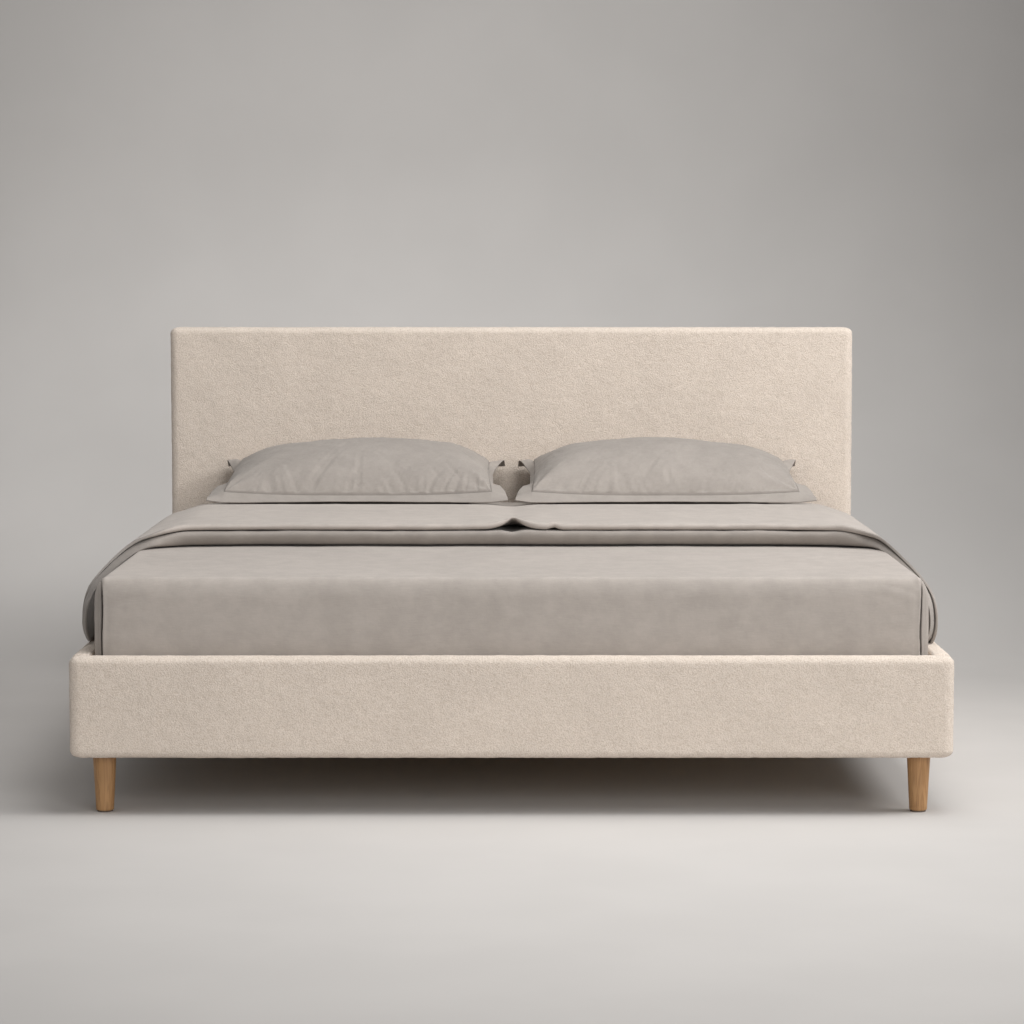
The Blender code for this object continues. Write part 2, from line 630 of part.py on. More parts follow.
def levelling_foot(y, steel, plastic):
    """A plastic pad on the floor and the stud that stands in its socket, with the nut that turns it."""
    socket = PAD_SOCKET_RADIUS
    rim = socket + PAD_RIM
    floor_of_socket = PAD_HEIGHT - PAD_SOCKET
    profile = (
        (socket, PAD_HEIGHT),
        (rim, PAD_HEIGHT),
        (PAD_RADIUS, PAD_HEIGHT / 2),
        (PAD_RADIUS, PAD_EDGE),
        (PAD_RADIUS - PAD_EDGE, 0.0),
        (0.0, 0.0),
        (0.0, floor_of_socket),
        (socket, floor_of_socket),
        (socket, PAD_HEIGHT),
    )
    turned("levelling_pad", plastic, profile, (0.0, y, 0.0))
    foot = floor_of_socket + TOUCH
    nut_low = PAD_HEIGHT + TOUCH
    profile = (
        (0.0, foot + STUD_LENGTH),
        (STUD_RADIUS - THREAD_CHAMFER, foot + STUD_LENGTH),
        (STUD_RADIUS, foot + STUD_LENGTH - THREAD_CHAMFER),
        (STUD_RADIUS, foot),
        (0.0, foot),
    )
    obj = turned("levelling_stud", steel, profile, (0.0, y, 0.0), steps=16)
    nut = bmesh.new()
    place = Matrix.Translation((0.0, y, nut_low + NUT_HEIGHT / 2))
    prism(nut, 6, NUT_RADIUS, NUT_HEIGHT, place)
    fuse(obj, add_cutter("levelling_nut", mesh_from(nut, "levelling_nut")))


# -------------------------------------------------------------------- bedding


def mattress(material):
    size = Vector((MATTRESS_WIDTH, MATTRESS_LENGTH, MATTRESS_HEIGHT))

    def on_outline(a, b):
        return abs(a.z - b.z) < 1e-5 and abs(a.z) > size.z / 2 - 1e-5

    bm = cushion_box(size, 2, lambda m: True, MATTRESS_CORNER, on_outline, MATTRESS_EDGE, 4)
    centre = (0.0, MATTRESS_MIDDLE_Y, MATTRESS_BOTTOM + MATTRESS_HEIGHT / 2)
    smooth(add_object("mattress", mesh_from(bm, "mattress"), material, centre))


def sheet_outline(half_width, half_length, corner, inset, pleat, bulge):
    """One level of the sheet in plan, with a pleat drawn in beside each corner at the foot."""
    w, l = half_width - inset, half_length - inset
    r = max(corner - inset, 0.3 * corner)
    points = []

    def arc(cx, cy, start, steps=3):
        for i in range(steps + 1):
            angle = math.radians(start + 90.0 * i / steps)
            points.append((cx + r * math.cos(angle), cy + r * math.sin(angle)))

    def along(a, b, count):
        for i in range(1, count):
            points.append((a[0] + (b[0] - a[0]) * i / count, a[1] + (b[1] - a[1]) * i / count))

    side = w + bulge
    fold = w - corner - 2 * PLEAT_HALF_WIDTH
    points += [(fold - PLEAT_HALF_WIDTH, -l), (fold, -l + pleat), (fold + PLEAT_HALF_WIDTH, -l)]
    arc(side - r, -l + r, -90.0)
    along((side, -l + r), (side, l - r), 4)
    arc(side - r, l - r, 0.0)
    along((side - r, l), (r - side, l), 4)
    arc(r - side, l - r, 90.0)
    along((-side, l - r), (-side, -l + r), 4)
    arc(r - side, -l + r, 180.0)
    points += [(-fold - PLEAT_HALF_WIDTH, -l), (-fold, -l + pleat), (-fold + PLEAT_HALF_WIDTH, -l)]
    along((-fold + PLEAT_HALF_WIDTH, -l), (fold - PLEAT_HALF_WIDTH, -l), 4)
    return points


def sheet(material):
    """A fitted sheet over the mattress: lofted levels from the tuck under it to the middle of the top."""
    half_width, half_length = MATTRESS_WIDTH / 2 + SHEET_OUT, MATTRESS_LENGTH / 2 + SHEET_OUT
    low, high = MATTRESS_BOTTOM - SHEET_OUT + RUN - TOUCH, SHEET_TOP
    roll = MATTRESS_EDGE + SHEET_OUT
    levels = [(SHEET_TUCK + roll, low, 0.0, 0.0)]
    for i in range(5):
        angle = math.radians(90.0 * i / 4)
        levels.append((roll * (1 - math.sin(angle)), low + roll * (1 - math.cos(angle)), 0.0, 0.0))
    rise = high - low - 2 * roll
    for share in (0.25, 0.55, 0.85):
        full = 1 - (1.0 - SHEET_FADE) * (2 * share - 1) ** 2
        levels.append((0.0, low + roll + rise * share, full * PLEAT_DEPTH, full * SHEET_BULGE))
    for i in range(5):
        angle = math.radians(90.0 * i / 4)
        fade = (1 - i / 4) * SHEET_FADE
        pleat, bulge = fade * PLEAT_DEPTH, fade * SHEET_BULGE
        levels.append((roll * (1 - math.cos(angle)), high - roll * (1 - math.sin(angle)), pleat, bulge))
    levels.append((0.5 * half_width, high, 0.0, 0.0))
    bm = bmesh.new()
    rings = []
    for inset, z, pleat, bulge in levels:
        outline = sheet_outline(half_width, half_length, SHEET_CORNER, inset, pleat, bulge)
        rings.append([bm.verts.new((x, MATTRESS_MIDDLE_Y + y, z)) for x, y in outline])
    skin_rings(bm, rings)
    bm.faces.new(rings[-1])
    obj = add_object("fitted_sheet", mesh_from(bm, "fitted_sheet"), material)
    shell = obj.modifiers.new("cloth", "SOLIDIFY")
    shell.thickness = SHEET_THICKNESS
    shell.offset = -1.0
    smooth(obj)


def skin_rings(bm, rings):
    """Faces between each ring of vertices and the next, each ring closed on itself."""
    for ring, following in zip(rings, rings[1:]):
        count = len(ring)
        for i in range(count):
            j = (i + 1) % count
            bm.faces.new((ring[i], ring[j], following[j], following[i]))


def cover_section():
    """Half of the cover's underside across the bed, as (across, height) from the middle to the hem."""
    half = MATTRESS_WIDTH / 2 + SHEET_OUT
    turn = half - MATTRESS_EDGE
    side = half + SHEET_BULGE + COVER_STAND_OFF
    hem = half + SHEET_BULGE + COVER_HEM_STAND_OFF
    hem_z = RAIL_TOP + COVER_LOWER_LAYER * COVER_SIDE_SHARE / 2
    waist_z = MATTRESS_TOP - 2 * MATTRESS_EDGE
    over, waist, low = (Vector((x, z, 0.0)) for x, z in ((turn, COVER_BOTTOM), (side, waist_z), (hem, hem_z)))
    out = Vector((side - over.x, 0.0, 0.0)) * 0.32
    up = Vector((0.0, over.y - waist_z, 0.0)) * 0.60
    shoulder = interpolate_bezier(over, over + out, waist + up, waist, 8)
    fall = Vector((0.0, waist_z - hem_z, 0.0)) * 0.4
    drape = interpolate_bezier(waist, waist - fall, low + fall, low, 4)
    closer_to_middle = [(i / 10) ** 1.6 for i in range(10)]
    flat = [Vector((turn * share, COVER_BOTTOM, 0.0)) for share in closer_to_middle]
    points = flat + list(shoulder) + list(drape[1:])
    return [(p.x, p.y) for p in points]


def section_normals(points):
    normals = []
    for i in range(len(points)):
        before, after = points[max(i - 1, 0)], points[min(i + 1, len(points) - 1)]
        dx, dz = after[0] - before[0], after[1] - before[1]
        length = math.hypot(dx, dz)
        normals.append((-dz / length, dx / length))
    normals[0] = (0.0, 1.0)
    return normals


def cover_front(across, edge, drop):
    """How far forward a front edge lies: straight over the top, swept towards the foot down the sides."""
    reach = max(0.0, (across - COVER_SWEEP_START) / (MATTRESS_WIDTH / 2 - COVER_SWEEP_START))
    on_top = COVER_SWEEP_ON_TOP * min(reach, 1.0) ** 2.2
    eased = drop * drop * (1 + COVER_SWEEP_EASE) / (drop + COVER_SWEEP_EASE)
    down_side = (1 - COVER_SWEEP_ON_TOP) * eased
    tip = COVER_TIP_ROUND * max(0.0, 4 * drop - 3) ** 2
    return MATTRESS_FOOT_Y + edge - COVER_SWEEP * (on_top + down_side) + tip


def cover_side_share(across):
    """How much of the cover's loft is left where it is drawn over the mattress's side."""
    t = min(1.0, max(0.0, (across - COVER_SIDE_START) / (COVER_SIDE_END - COVER_SIDE_START)))
    return 1 - (1 - COVER_SIDE_SHARE) * t * t * (3 - 2 * t)


def rounded_edge(edge, middle, half, steps=6):
    """A half-round front edge from its underside to its top, as (along, height)."""
    angles = [math.pi * (i / steps - 0.5) for i in range(steps + 1)]
    return [(edge + half * (1 - math.cos(a)), middle + half * math.sin(a)) for a in angles]


def cover_loop(across, drop, hem):
    """The cover cut lengthwise: a hairpin of (along the bed, above the underside), its front edges rounded.

    The thick lower layer has the thin upper one on it, and both thin out towards the head of the bed. At the
    hem each layer narrows about its own middle.
    """
    share = cover_side_share(across)
    low, high = COVER_LOWER_LAYER * share, COVER_UPPER_LAYER * share
    mid_low, mid_high = low / 2, low + COVER_FOLD_GAP + high / 2
    half_low, half_high = low / 2 * hem, high / 2 * hem
    lower = cover_front(across, COVER_LOWER_EDGE, drop)
    upper = cover_front(across, COVER_UPPER_EDGE, drop)
    notch = math.exp(-((across / COVER_NOTCH_WIDTH) ** 2))
    upper += COVER_NOTCH_DEPTH * notch
    lift = COVER_NOTCH_LIFT * notch
    head, bend = COVER_HEAD_Y, COVER_TAPER_Y
    inner = head - COVER_UPPER_LAYER
    behind = upper + COVER_FOLD_SLOPE
    loop = rounded_edge(lower, mid_low, half_low)
    loop += [(y, mid_low + half_low) for y in (behind, bend, inner)]
    loop += [(y, mid_high - half_high) for y in (inner, bend, behind)]
    loop += rounded_edge(upper, mid_high + lift, half_high)
    loop += [(y, mid_high + half_high) for y in (behind, bend, head)]
    loop += [(y, mid_low - half_low) for y in (head, bend, behind)]
    thinned = (COVER_HEAD_SHARE - 1) / (head - bend)
    return [(y, up * (1 + thinned * max(0.0, y - bend))) for y, up in loop]


def turned_back_cover(material):
    """A thin quilted cover over the mattress and down its sides, turned back on itself under the pillows."""
    section = cover_section()
    normals = section_normals(section)
    hem_drop = COVER_BOTTOM - section[-1][1]
    stations = []
    last = len(section) - 1
    for i, ((across, z), normal) in enumerate(zip(section, normals)):
        drop = max(0.0, COVER_BOTTOM - z) / hem_drop
        loop = cover_loop(across, drop, COVER_HEM_SHARE if i == last else 1.0)
        stations.append([(across + normal[0] * up, y, z + normal[1] * up) for y, up in loop])
    bm = bmesh.new()
    mirrored = [[(-x, y, z) for x, y, z in station] for station in reversed(stations[1:])]
    rings = [[bm.verts.new(point) for point in station] for station in mirrored + stations]
    skin_rings(bm, rings)
    bm.faces.new(rings[0])
    bm.faces.new(rings[-1])
    smooth(add_object("turned_back_cover", mesh_from(bm, "turned_back_cover"), material))


# -------------------------------------------------------------------- pillows


def pillow_lines(count, seam):
    """Grid lines from -1 to 1, closer together near the seams, with the flange outside them."""
    inner = [math.sin(math.pi / 2 * (2 * i / count - 1)) * seam for i in range(count + 1)]
    return [-1.0] + inner + [1.0]


def pillow_height(u, v):
    """The pillow's fullness, 0 along its seams and 1 at its crown."""
    across = max(0.0, 1 - abs(u) ** PILLOW_CROWN_ACROSS)
    along = max(0.0, 1 - abs(v) ** PILLOW_CROWN_ALONG)
    return (across * along) ** PILLOW_FALL


def pillow_point(u, v, seam, rest, side, share):
    """A point of the top (side 1) or underside (side -1), flat where the pillow rests on the cover.

    The pillow's ends lift between their corners. share draws the form in towards its middle surface, for the
    room inside the case and for the insert.
    """
    half_w, half_d = PILLOW_WIDTH / 2, PILLOW_DEPTH / 2
    x = u * (half_w - PILLOW_END_DRAW * (1 - v * v) * abs(u) - PILLOW_BACK_DRAW * max(0.0, v))
    y = v * (half_d - PILLOW_SIDE_DRAW * (1 - u * u) * abs(v))
    full = pillow_height(u / seam[0], v / seam[1]) if abs(u) < seam[0] and abs(v) < seam[1] else 0.0
    rise = PILLOW_RISE if side > 0 else PILLOW_SAG
    lift = PILLOW_END_LIFT * abs(u * share) ** 3 * (1 - (v * share) ** 2)
    z = lift + side * share * (PILLOW_FLANGE_THICKNESS / 2 + rise * full)
    lean = math.sin(PILLOW_TILT) + COVER_SLOPE * math.cos(PILLOW_TILT)
    floor = (rest - y * lean) / (math.cos(PILLOW_TILT) - COVER_SLOPE * math.sin(PILLOW_TILT))
    return Vector((share * x, share * y, max(z, share * floor) if side < 0 else z))


def pillow_seam():
    return 1 - 2 * PILLOW_FLANGE / PILLOW_WIDTH, 1 - 2 * PILLOW_FLANGE / PILLOW_DEPTH


def pillow_form(us, vs, rest, share=1.0):
    """A closed mesh from one grid for the top and one for the underside, joined round the outline."""
    seam = pillow_seam()
    bm = bmesh.new()
    top = [[bm.verts.new(pillow_point(u, v, seam, rest, 1, share)) for u in us] for v in vs]
    low = [[bm.verts.new(pillow_point(u, v, seam, rest, -1, share)) for u in us] for v in vs]
    for j in range(len(vs) - 1):
        for i in range(len(us) - 1):
            bm.faces.new((top[j][i], top[j][i + 1], top[j + 1][i + 1], top[j + 1][i]))
            bm.faces.new((low[j][i], low[j + 1][i], low[j + 1][i + 1], low[j][i + 1]))

    def outline(grid):
        right = [row[-1] for row in grid[1:]]
        left = [row[0] for row in reversed(grid[1:-1])]
        return grid[0] + right + list(reversed(grid[-1]))[1:] + left

    skin_rings(bm, [outline(low), outline(top)])
    bmesh.ops.triangulate(bm, faces=bm.faces, quad_method="FIXED")
    return bm


def pillow(side, name, cotton, filling):
    """A flanged case, open along its outer end, round an insert of the same form."""
    seam = pillow_seam()
    half_depth = PILLOW_DEPTH / 2
    run = half_depth * math.cos(PILLOW_TILT)
    x = side * (PILLOW_WIDTH + PILLOW_SPACING) / 2
    y = HEAD_FACE_Y - PILLOW_HEAD_ROOM - run
    front_clear = TOUCH + PILLOW_FLANGE_THICKNESS / 2 * math.cos(PILLOW_TILT)
    z = COVER_TOP + front_clear + half_depth * math.sin(PILLOW_TILT)
    rest = COVER_TOP + TOUCH - COVER_SLOPE * (y - COVER_TAPER_Y) - z
    place = Matrix.Translation((x, y, z)) @ Matrix.Rotation(PILLOW_TILT, 4, "X")
    case = pillow_form(pillow_lines(18, seam[0]), pillow_lines(12, seam[1]), rest)
    bmesh.ops.transform(case, matrix=place, verts=case.verts)
    obj = add_object(f"pillowcase_{name}", mesh_from(case, f"pillowcase_{name}"), cotton)
    us, vs = pillow_lines(14, seam[0])[1:-1], pillow_lines(10, seam[1])[1:-1]
    for share, kind in ((CASE_SHARE, "room"), (INSERT_SHARE, "insert")):
        bm = pillow_form(us, vs, rest, share)
        bmesh.ops.transform(bm, matrix=place, verts=bm.verts)
        mesh = mesh_from(bm, f"pillow_{kind}_{name}")
        if kind == "room":
            cut(obj, add_cutter(f"pillow_room_{name}", mesh))
        else:
            smooth(add_object(f"pillow_insert_{name}", mesh, filling))
    mouth_half = half_depth * PILLOW_MOUTH_SHARE
    well_inside = (PILLOW_WIDTH / 2 - PILLOW_FLANGE) * 0.8
    mouth_low = Vector((well_inside, -mouth_half, -PILLOW_MOUTH / 2))
    mouth_high = Vector((PILLOW_WIDTH, mouth_half, PILLOW_MOUTH / 2))
    mouth = box_mesh(f"pillow_mouth_{name}", mouth_low, mouth_high)
    mouth.transform(place @ Matrix.Rotation(0.0 if side > 0 else math.pi, 4, "Z"))
    cut(obj, add_cutter(f"pillow_mouth_{name}", mouth))
    smooth(obj)


def main():
    clear_scene()
    boucle = make_material("boucle", (0.62, 0.53, 0.45), 0.95)
    cotton = make_material("taupe_cotton", (0.37, 0.32, 0.28), 0.9)
    timber = make_material("pine", (0.62, 0.47, 0.30), 0.6)
    panel = make_material("plywood", (0.55, 0.42, 0.28), 0.65)
    foam = make_material("foam", (0.80, 0.76, 0.62), 0.9)
    dust_cloth = make_material("dust_cloth", (0.05, 0.05, 0.05), 0.9)
    steel = make_material("black_steel", (0.03, 0.03, 0.03), 0.45, 1.0)
    wood = make_material("oak", (0.50, 0.31, 0.15), 0.5)
    felt = make_material("felt", (0.20, 0.16, 0.13), 1.0)
    plastic = make_material("black_plastic", (0.03, 0.03, 0.03), 0.5)
    webbing = make_material("webbing", (0.75, 0.72, 0.66), 0.9)
    ticking = make_material("ticking", (0.85, 0.84, 0.80), 0.9)
    headboard_cover(boucle)
    headboard_foam(foam)
    headboard_timber(timber, panel, dust_cloth)
    foot_rail(boucle, timber)
    for side, name in ((-1, "left"), (1, "right")):
        side_rail(side, name, boucle, timber)
        pillow(side, name, cotton, ticking)
    corners(timber, steel, wood, felt)
    slats(timber, webbing)
    centre_support(timber, steel, plastic)
    mattress(ticking)
    sheet(cotton)
    turned_back_cover(cotton)


main()
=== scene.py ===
from math import copysign, cos, exp, pi, radians, sin, sqrt

import bmesh
import bpy
import numpy as np
from mathutils import Matrix, Vector


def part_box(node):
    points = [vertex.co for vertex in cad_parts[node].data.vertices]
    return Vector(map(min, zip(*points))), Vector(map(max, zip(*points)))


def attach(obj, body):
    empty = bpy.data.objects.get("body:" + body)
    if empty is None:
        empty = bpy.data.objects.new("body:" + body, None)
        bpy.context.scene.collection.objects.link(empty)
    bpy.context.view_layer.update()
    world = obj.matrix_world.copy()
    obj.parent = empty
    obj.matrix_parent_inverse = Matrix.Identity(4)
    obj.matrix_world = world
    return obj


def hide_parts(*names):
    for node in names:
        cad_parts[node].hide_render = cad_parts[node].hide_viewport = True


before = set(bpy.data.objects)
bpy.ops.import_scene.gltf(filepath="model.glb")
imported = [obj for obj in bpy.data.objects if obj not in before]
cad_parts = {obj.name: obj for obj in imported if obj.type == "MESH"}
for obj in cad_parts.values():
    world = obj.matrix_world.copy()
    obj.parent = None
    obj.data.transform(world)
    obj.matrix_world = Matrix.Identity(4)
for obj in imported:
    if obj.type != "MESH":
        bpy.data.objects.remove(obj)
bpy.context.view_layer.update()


# ---- noise

CELL_FACTORS = (0x9E3779B1, 0x85EBCA77, 0xC2B2AE3D)
SEED_FACTOR, SEED_START = 668265263, 374761393
STIRS = ((15, 0x2C1B3C6D), (12, 0x297A2D39))
LOW_32, LOW_24 = 0xFFFFFFFF, 0xFFFFFF


def hashed(cells, seed):
    """A repeatable value from 0 to 1 for each integer cell."""
    c = cells.astype(np.uint64)
    h = sum(c[..., axis] * np.uint64(factor) for axis, factor in enumerate(CELL_FACTORS))
    h = (h + np.uint64(seed * SEED_FACTOR + SEED_START)) & np.uint64(LOW_32)
    for shift, factor in STIRS:
        h = ((h ^ (h >> np.uint64(shift))) * np.uint64(factor)) & np.uint64(LOW_32)
    return ((h ^ (h >> np.uint64(STIRS[0][0]))) & np.uint64(LOW_24)).astype(float) / LOW_24


def noise(points, size, seed=0):
    """Smooth noise from -1 to 1 whose features are about size across (a number or one per axis)."""
    p = np.asarray(points) / np.asarray(size) + 4096.0
    cell = np.floor(p)
    f = p - cell
    f = f * f * (3 - 2 * f)
    total = np.zeros(p.shape[0])
    for corner in np.ndindex(2, 2, 2):
        weight = np.ones(p.shape[0])
        for axis in range(3):
            weight = weight * (f[:, axis] if corner[axis] else 1 - f[:, axis])
        total += weight * hashed(cell + np.array(corner), seed)
    return 2 * total - 1


def layered(points, seed, *layers):
    """Noise of several sizes added up, each layer an amount and a size, with seeds that follow on."""
    return sum(amount * noise(points, size, seed + k) for k, (amount, size) in enumerate(layers))


def unit(t):
    """The value held between 0 and 1."""
    return np.clip(t, 0, 1)


def smoothstep(t):
    t = unit(t)
    return t * t * (3 - 2 * t)


def bump_at(x, centre, width):
    return np.exp(-(((x - centre) / width) ** 2))


def columns(*values):
    """Points from an array or a number for each axis."""
    return np.stack(np.broadcast_arrays(*values), axis=1)


# ---- meshes

WELD_WITHIN = 2e-6


def smooth(mesh):
    mesh.polygons.foreach_set("use_smooth", [True] * len(mesh.polygons))


def to_mesh(name, points, faces, weld=True):
    mesh = bpy.data.meshes.new(name)
    mesh.from_pydata([tuple(p) for p in points], [], [tuple(f) for f in faces])
    bm = bmesh.new()
    bm.from_mesh(mesh)
    if weld:
        bmesh.ops.remove_doubles(bm, verts=bm.verts, dist=WELD_WITHIN)
    bmesh.ops.recalc_face_normals(bm, faces=bm.faces)
    bm.to_mesh(mesh)
    bm.free()
    smooth(mesh)
    mesh.update()
    return mesh


def piece(name, mesh, mat, body, stands_for=(), slot=None):
    obj = bpy.data.objects.new(name, mesh)
    bpy.context.scene.collection.objects.link(obj)
    mesh.materials.clear()
    mesh.materials.append(mat)
    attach(obj, body)
    if stands_for:
        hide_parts(*stands_for)
    return obj


def formed(name, points, faces, *rest):
    return piece(name, to_mesh(name, points, faces), *rest)


def coords(obj, key="co"):
    values = np.empty(len(obj.data.vertices) * 3)
    obj.data.vertices.foreach_get(key, values)
    return values.reshape(-1, 3)


def normals(obj):
    return coords(obj, "normal")


def set_coords(obj, co):
    obj.data.vertices.foreach_set("co", np.ascontiguousarray(co).ravel())
    obj.data.update()


def paint_shade(obj, amount):
    """Painted shade: how much darker than its cloth each vertex is, read by the cotton."""
    obj.data.attributes.new("darker", "FLOAT", "POINT").data.foreach_set("value", amount)


def crossed(us, vs):
    """Every pair of two sets of lines, row by row."""
    return [g.ravel() for g in np.meshgrid(us, vs, indexing="ij")]


def grid_faces(rows, count):
    """Quads over rows of points, each row with the same count."""
    starts = (row * count + i for row in range(rows - 1) for i in range(count - 1))
    return [(a, a + 1, a + count + 1, a + count) for a in starts]


def spaced(low, high, step, edge=0.0, edge_step=0.0, extra=()):
    """Grid lines from low to high, closer together within edge of the ends, and through each extra place."""
    marks = sorted({low, high, *[e for e in extra if low < e < high]})
    if edge:
        marks = sorted({*marks, low + edge, high - edge})
    lines = [low]
    for a, b in zip(marks, marks[1:]):
        near = edge and (b <= low + edge + 1e-9 or a >= high - edge - 1e-9)
        count = max(1, int(round((b - a) / (edge_step if near else step))))
        lines += [a + (b - a) * i / count for i in range(1, count + 1)]
    return np.array(lines)


def box_grid(xs, ys, zs, skip):
    """The six faces of a box as one welded grid. skip(axis, side, a, b) leaves a cell out."""
    axes = (xs, ys, zs)
    points, faces = [], []
    for axis in range(3):
        us, vs = [axes[a] for a in range(3) if a != axis]
        u_middles, v_middles = (us[:-1] + us[1:]) / 2, (vs[:-1] + vs[1:]) / 2
        for side in (0, -1):
            start = sum(len(p) for p in points)
            places = crossed(us, vs)
            places.insert(axis, axes[axis][side])
            points.append(columns(*places))
            for i, j in np.ndindex(len(u_middles), len(v_middles)):
                if not (skip and skip(axis, side, u_middles[i], v_middles[j])):
                    a = start + i * len(vs) + j
                    faces.append((a, a + 1, a + len(vs) + 1, a + len(vs)))
    return np.concatenate(points), faces


def rounded(points, low, high, radii):
    """A box's surface points moved onto the same box with rounded edges, one radius per axis."""
    low, high, radii = np.array(low), np.array(high), np.array(radii)
    q = np.clip(points, low + radii, high - radii)
    d = (points - q) / radii
    largest = abs(d).max(axis=1)
    length = np.linalg.norm(d, axis=1)
    scale = np.where(length > 1e-9, largest / np.maximum(length, 1e-9), 1.0)
    return q + radii * d * scale[:, None]


def soft_box(name, lines, low, high, radii, skip, *rest):
    """A box with rounded edges as a piece, and its points and normals."""
    points, faces = box_grid(*lines, skip=skip)
    obj = formed(name, rounded(points, low, high, radii), faces, *rest)
    return obj, coords(obj), normals(obj)


def hollow_behind(mesh, axis, depth_to):
    """Walls from the mesh's open rim straight in to the plane depth_to, and a floor across them."""
    bm = bmesh.new()
    bm.from_mesh(mesh)
    rim = [e for e in bm.edges if e.is_boundary]
    made = bmesh.ops.extrude_edge_only(bm, edges=rim)["geom"]
    verts = [g for g in made if isinstance(g, bmesh.types.BMVert)]
    for v in verts:
        v.co[axis] = depth_to
    edges = [g for g in made if isinstance(g, bmesh.types.BMEdge) and g.is_boundary]
    bmesh.ops.contextual_create(bm, geom=edges)
    bmesh.ops.recalc_face_normals(bm, faces=bm.faces)
    bm.to_mesh(mesh)
    bm.free()


# ---- materials


class Nodes:
    """A node tree written from the surface backwards, with short calls."""

    def __init__(self, name):
        self.mat = bpy.data.materials.new(name)
        self.mat.use_nodes = True
        self.tree = self.mat.node_tree
        self.tree.nodes.clear()
        self.out = self.tree.nodes.new("ShaderNodeOutputMaterial")
        self.shader = self.tree.nodes.new("ShaderNodeBsdfPrincipled")
        self.tree.links.new(self.shader.outputs[0], self.out.inputs[0])
        self.place = self.node("TexCoord", out="Object")

    def put(self, socket, value):
        if isinstance(value, bpy.types.NodeSocket):
            self.tree.links.new(value, socket)
        elif value is not None:
            if socket.type == "RGBA" and len(value) == 3:
                value = (*value, 1.0)
            socket.default_value = value

    def node(self, kind, values=(), out=0, props=None, **inputs):
        """A new node's output. Its inputs are given in their order or by name."""
        made = self.tree.nodes.new("ShaderNode" + kind)
        for key, value in (props or {}).items():
            setattr(made, key, value)
        for socket, value in zip(made.inputs, values):
            self.put(socket, value)
        for key, value in inputs.items():
            self.put(made.inputs[key], value)
        return made.outputs[out]

    def math(self, operation, *values):
        return self.node("Math", values, props={"operation": operation})

    def kept(self, value, low, high):
        """The value held between low and high."""
        return self.math("MINIMUM", self.math("MAXIMUM", value, low), high)

    def scaled(self, factors):
        return self.node("Mapping", Vector=self.place, Scale=factors)

    def cloud(self, scale, detail=3.0, rough=0.5, vector=None, distortion=0.0):
        return self.node(
            "TexNoise", Vector=vector or self.place, Scale=scale, Detail=detail, Roughness=rough, Distortion=distortion
        )

    def span(self, value, a, b, low=0.0, high=1.0):
        """The value taken smoothly from low at a to high at b."""
        return self.node("MapRange", (value, a, b, low, high), props={"interpolation_type": "SMOOTHSTEP"})

    def varied(self, cloud, amount, edge=0.3, middle=1.0):
        """A cloud taken to the middle value and an amount to both sides of it."""
        return self.span(cloud, edge, 1 - edge, middle - amount, middle + amount)

    def mix(self, factor, a, b, blend="MIX"):
        colour = self.node("Mix", (factor,), 2, {"data_type": "RGBA", "blend_type": blend})
        self.put(colour.node.inputs[6], a)
        self.put(colour.node.inputs[7], b)
        return colour

    def bump(self, height, strength, distance, under=None):
        return self.node("Bump", Height=height, Strength=strength, Distance=distance, Normal=under)

    def finish(self, colour, tint, rough, normal, spec, **more):
        """The material, its colour made lighter or darker by the tint's factor."""
        colour = self.mix(1.0, colour, self.node("CombineColor", (tint, tint, tint)), "MULTIPLY")
        given = {"Base_Color": colour, "Roughness": rough, "Normal": normal, "Specular_IOR_Level": spec, **more}
        for key, value in given.items():
            self.put(self.shader.inputs[key.replace("_", " ")], value)
        return self.mat

    def one_sided(self):
        """Lets the surface be seen through from behind, so that it hides nothing there."""
        both = self.node("MixShader", (self.node("NewGeometry", out="Backfacing"),)).node
        for socket, shader in zip(both.inputs[1:], (self.shader, self.tree.nodes.new("ShaderNodeBsdfTransparent"))):
            self.tree.links.new(shader.outputs[0], socket)
        self.tree.links.new(both.outputs[0], self.out.inputs[0])


def times(colour, factor):
    """The colour multiplied by one factor, or by one for each channel."""
    return tuple(np.multiply(colour, factor).tolist())


# the loops' colour a little lighter, and the painted shade of the hollows between them
BOUCLE_COLOUR, BOUCLE_LOOPS, BOUCLE_HOLLOW_SHADE = (0.745, 0.656, 0.576), 1.03, (0.8, 0.77, 0.73)
MOTTLE = 0.045
RIB_PITCH = 0.0022


def boucle():
    """Looped wool: loops of two sizes pushed about unevenly, the hollows between them painted darker and warmer with
    shade.
    """
    n = Nodes("boucle")
    shift = n.node("TexNoise", out=1, Vector=n.place, Scale=120.0, Detail=2.0)
    shifted = n.node("VectorMath", (shift, (0.0055, 0.0055, 0.0055), n.place), props={"operation": "MULTIPLY_ADD"})
    loops, small = (n.node("TexVoronoi", Vector=shifted, Scale=scale) for scale in (330.0, 640.0))
    height = n.math("ADD", n.math("SUBTRACT", 1.0, loops), n.math("MULTIPLY", n.math("SUBTRACT", 1.0, small), 0.55))
    # painted shade: the hollows between the loops darker and warmer than the loops' tops
    hollow = n.math("MULTIPLY_ADD", n.span(small, 0.3, 0.75), 0.45, n.span(loops, 0.25, 0.8, 0.0, 0.55))
    tint = n.math("MULTIPLY", n.varied(n.cloud(9.0), 0.025), n.varied(n.cloud(90.0, 2.0, 0.6), 0.03, 0.25))
    colour = n.mix(hollow, times(BOUCLE_COLOUR, BOUCLE_LOOPS), times(BOUCLE_COLOUR, BOUCLE_HOLLOW_SHADE))
    fuzz = n.bump(n.cloud(900.0, 2.0, 0.7), 0.25, 0.0006)
    return n.finish(colour, tint, 0.95, n.bump(height, 0.6, 0.0018, fuzz), 0.15, Sheen_Weight=0.12,
                    Sheen_Roughness=0.6)


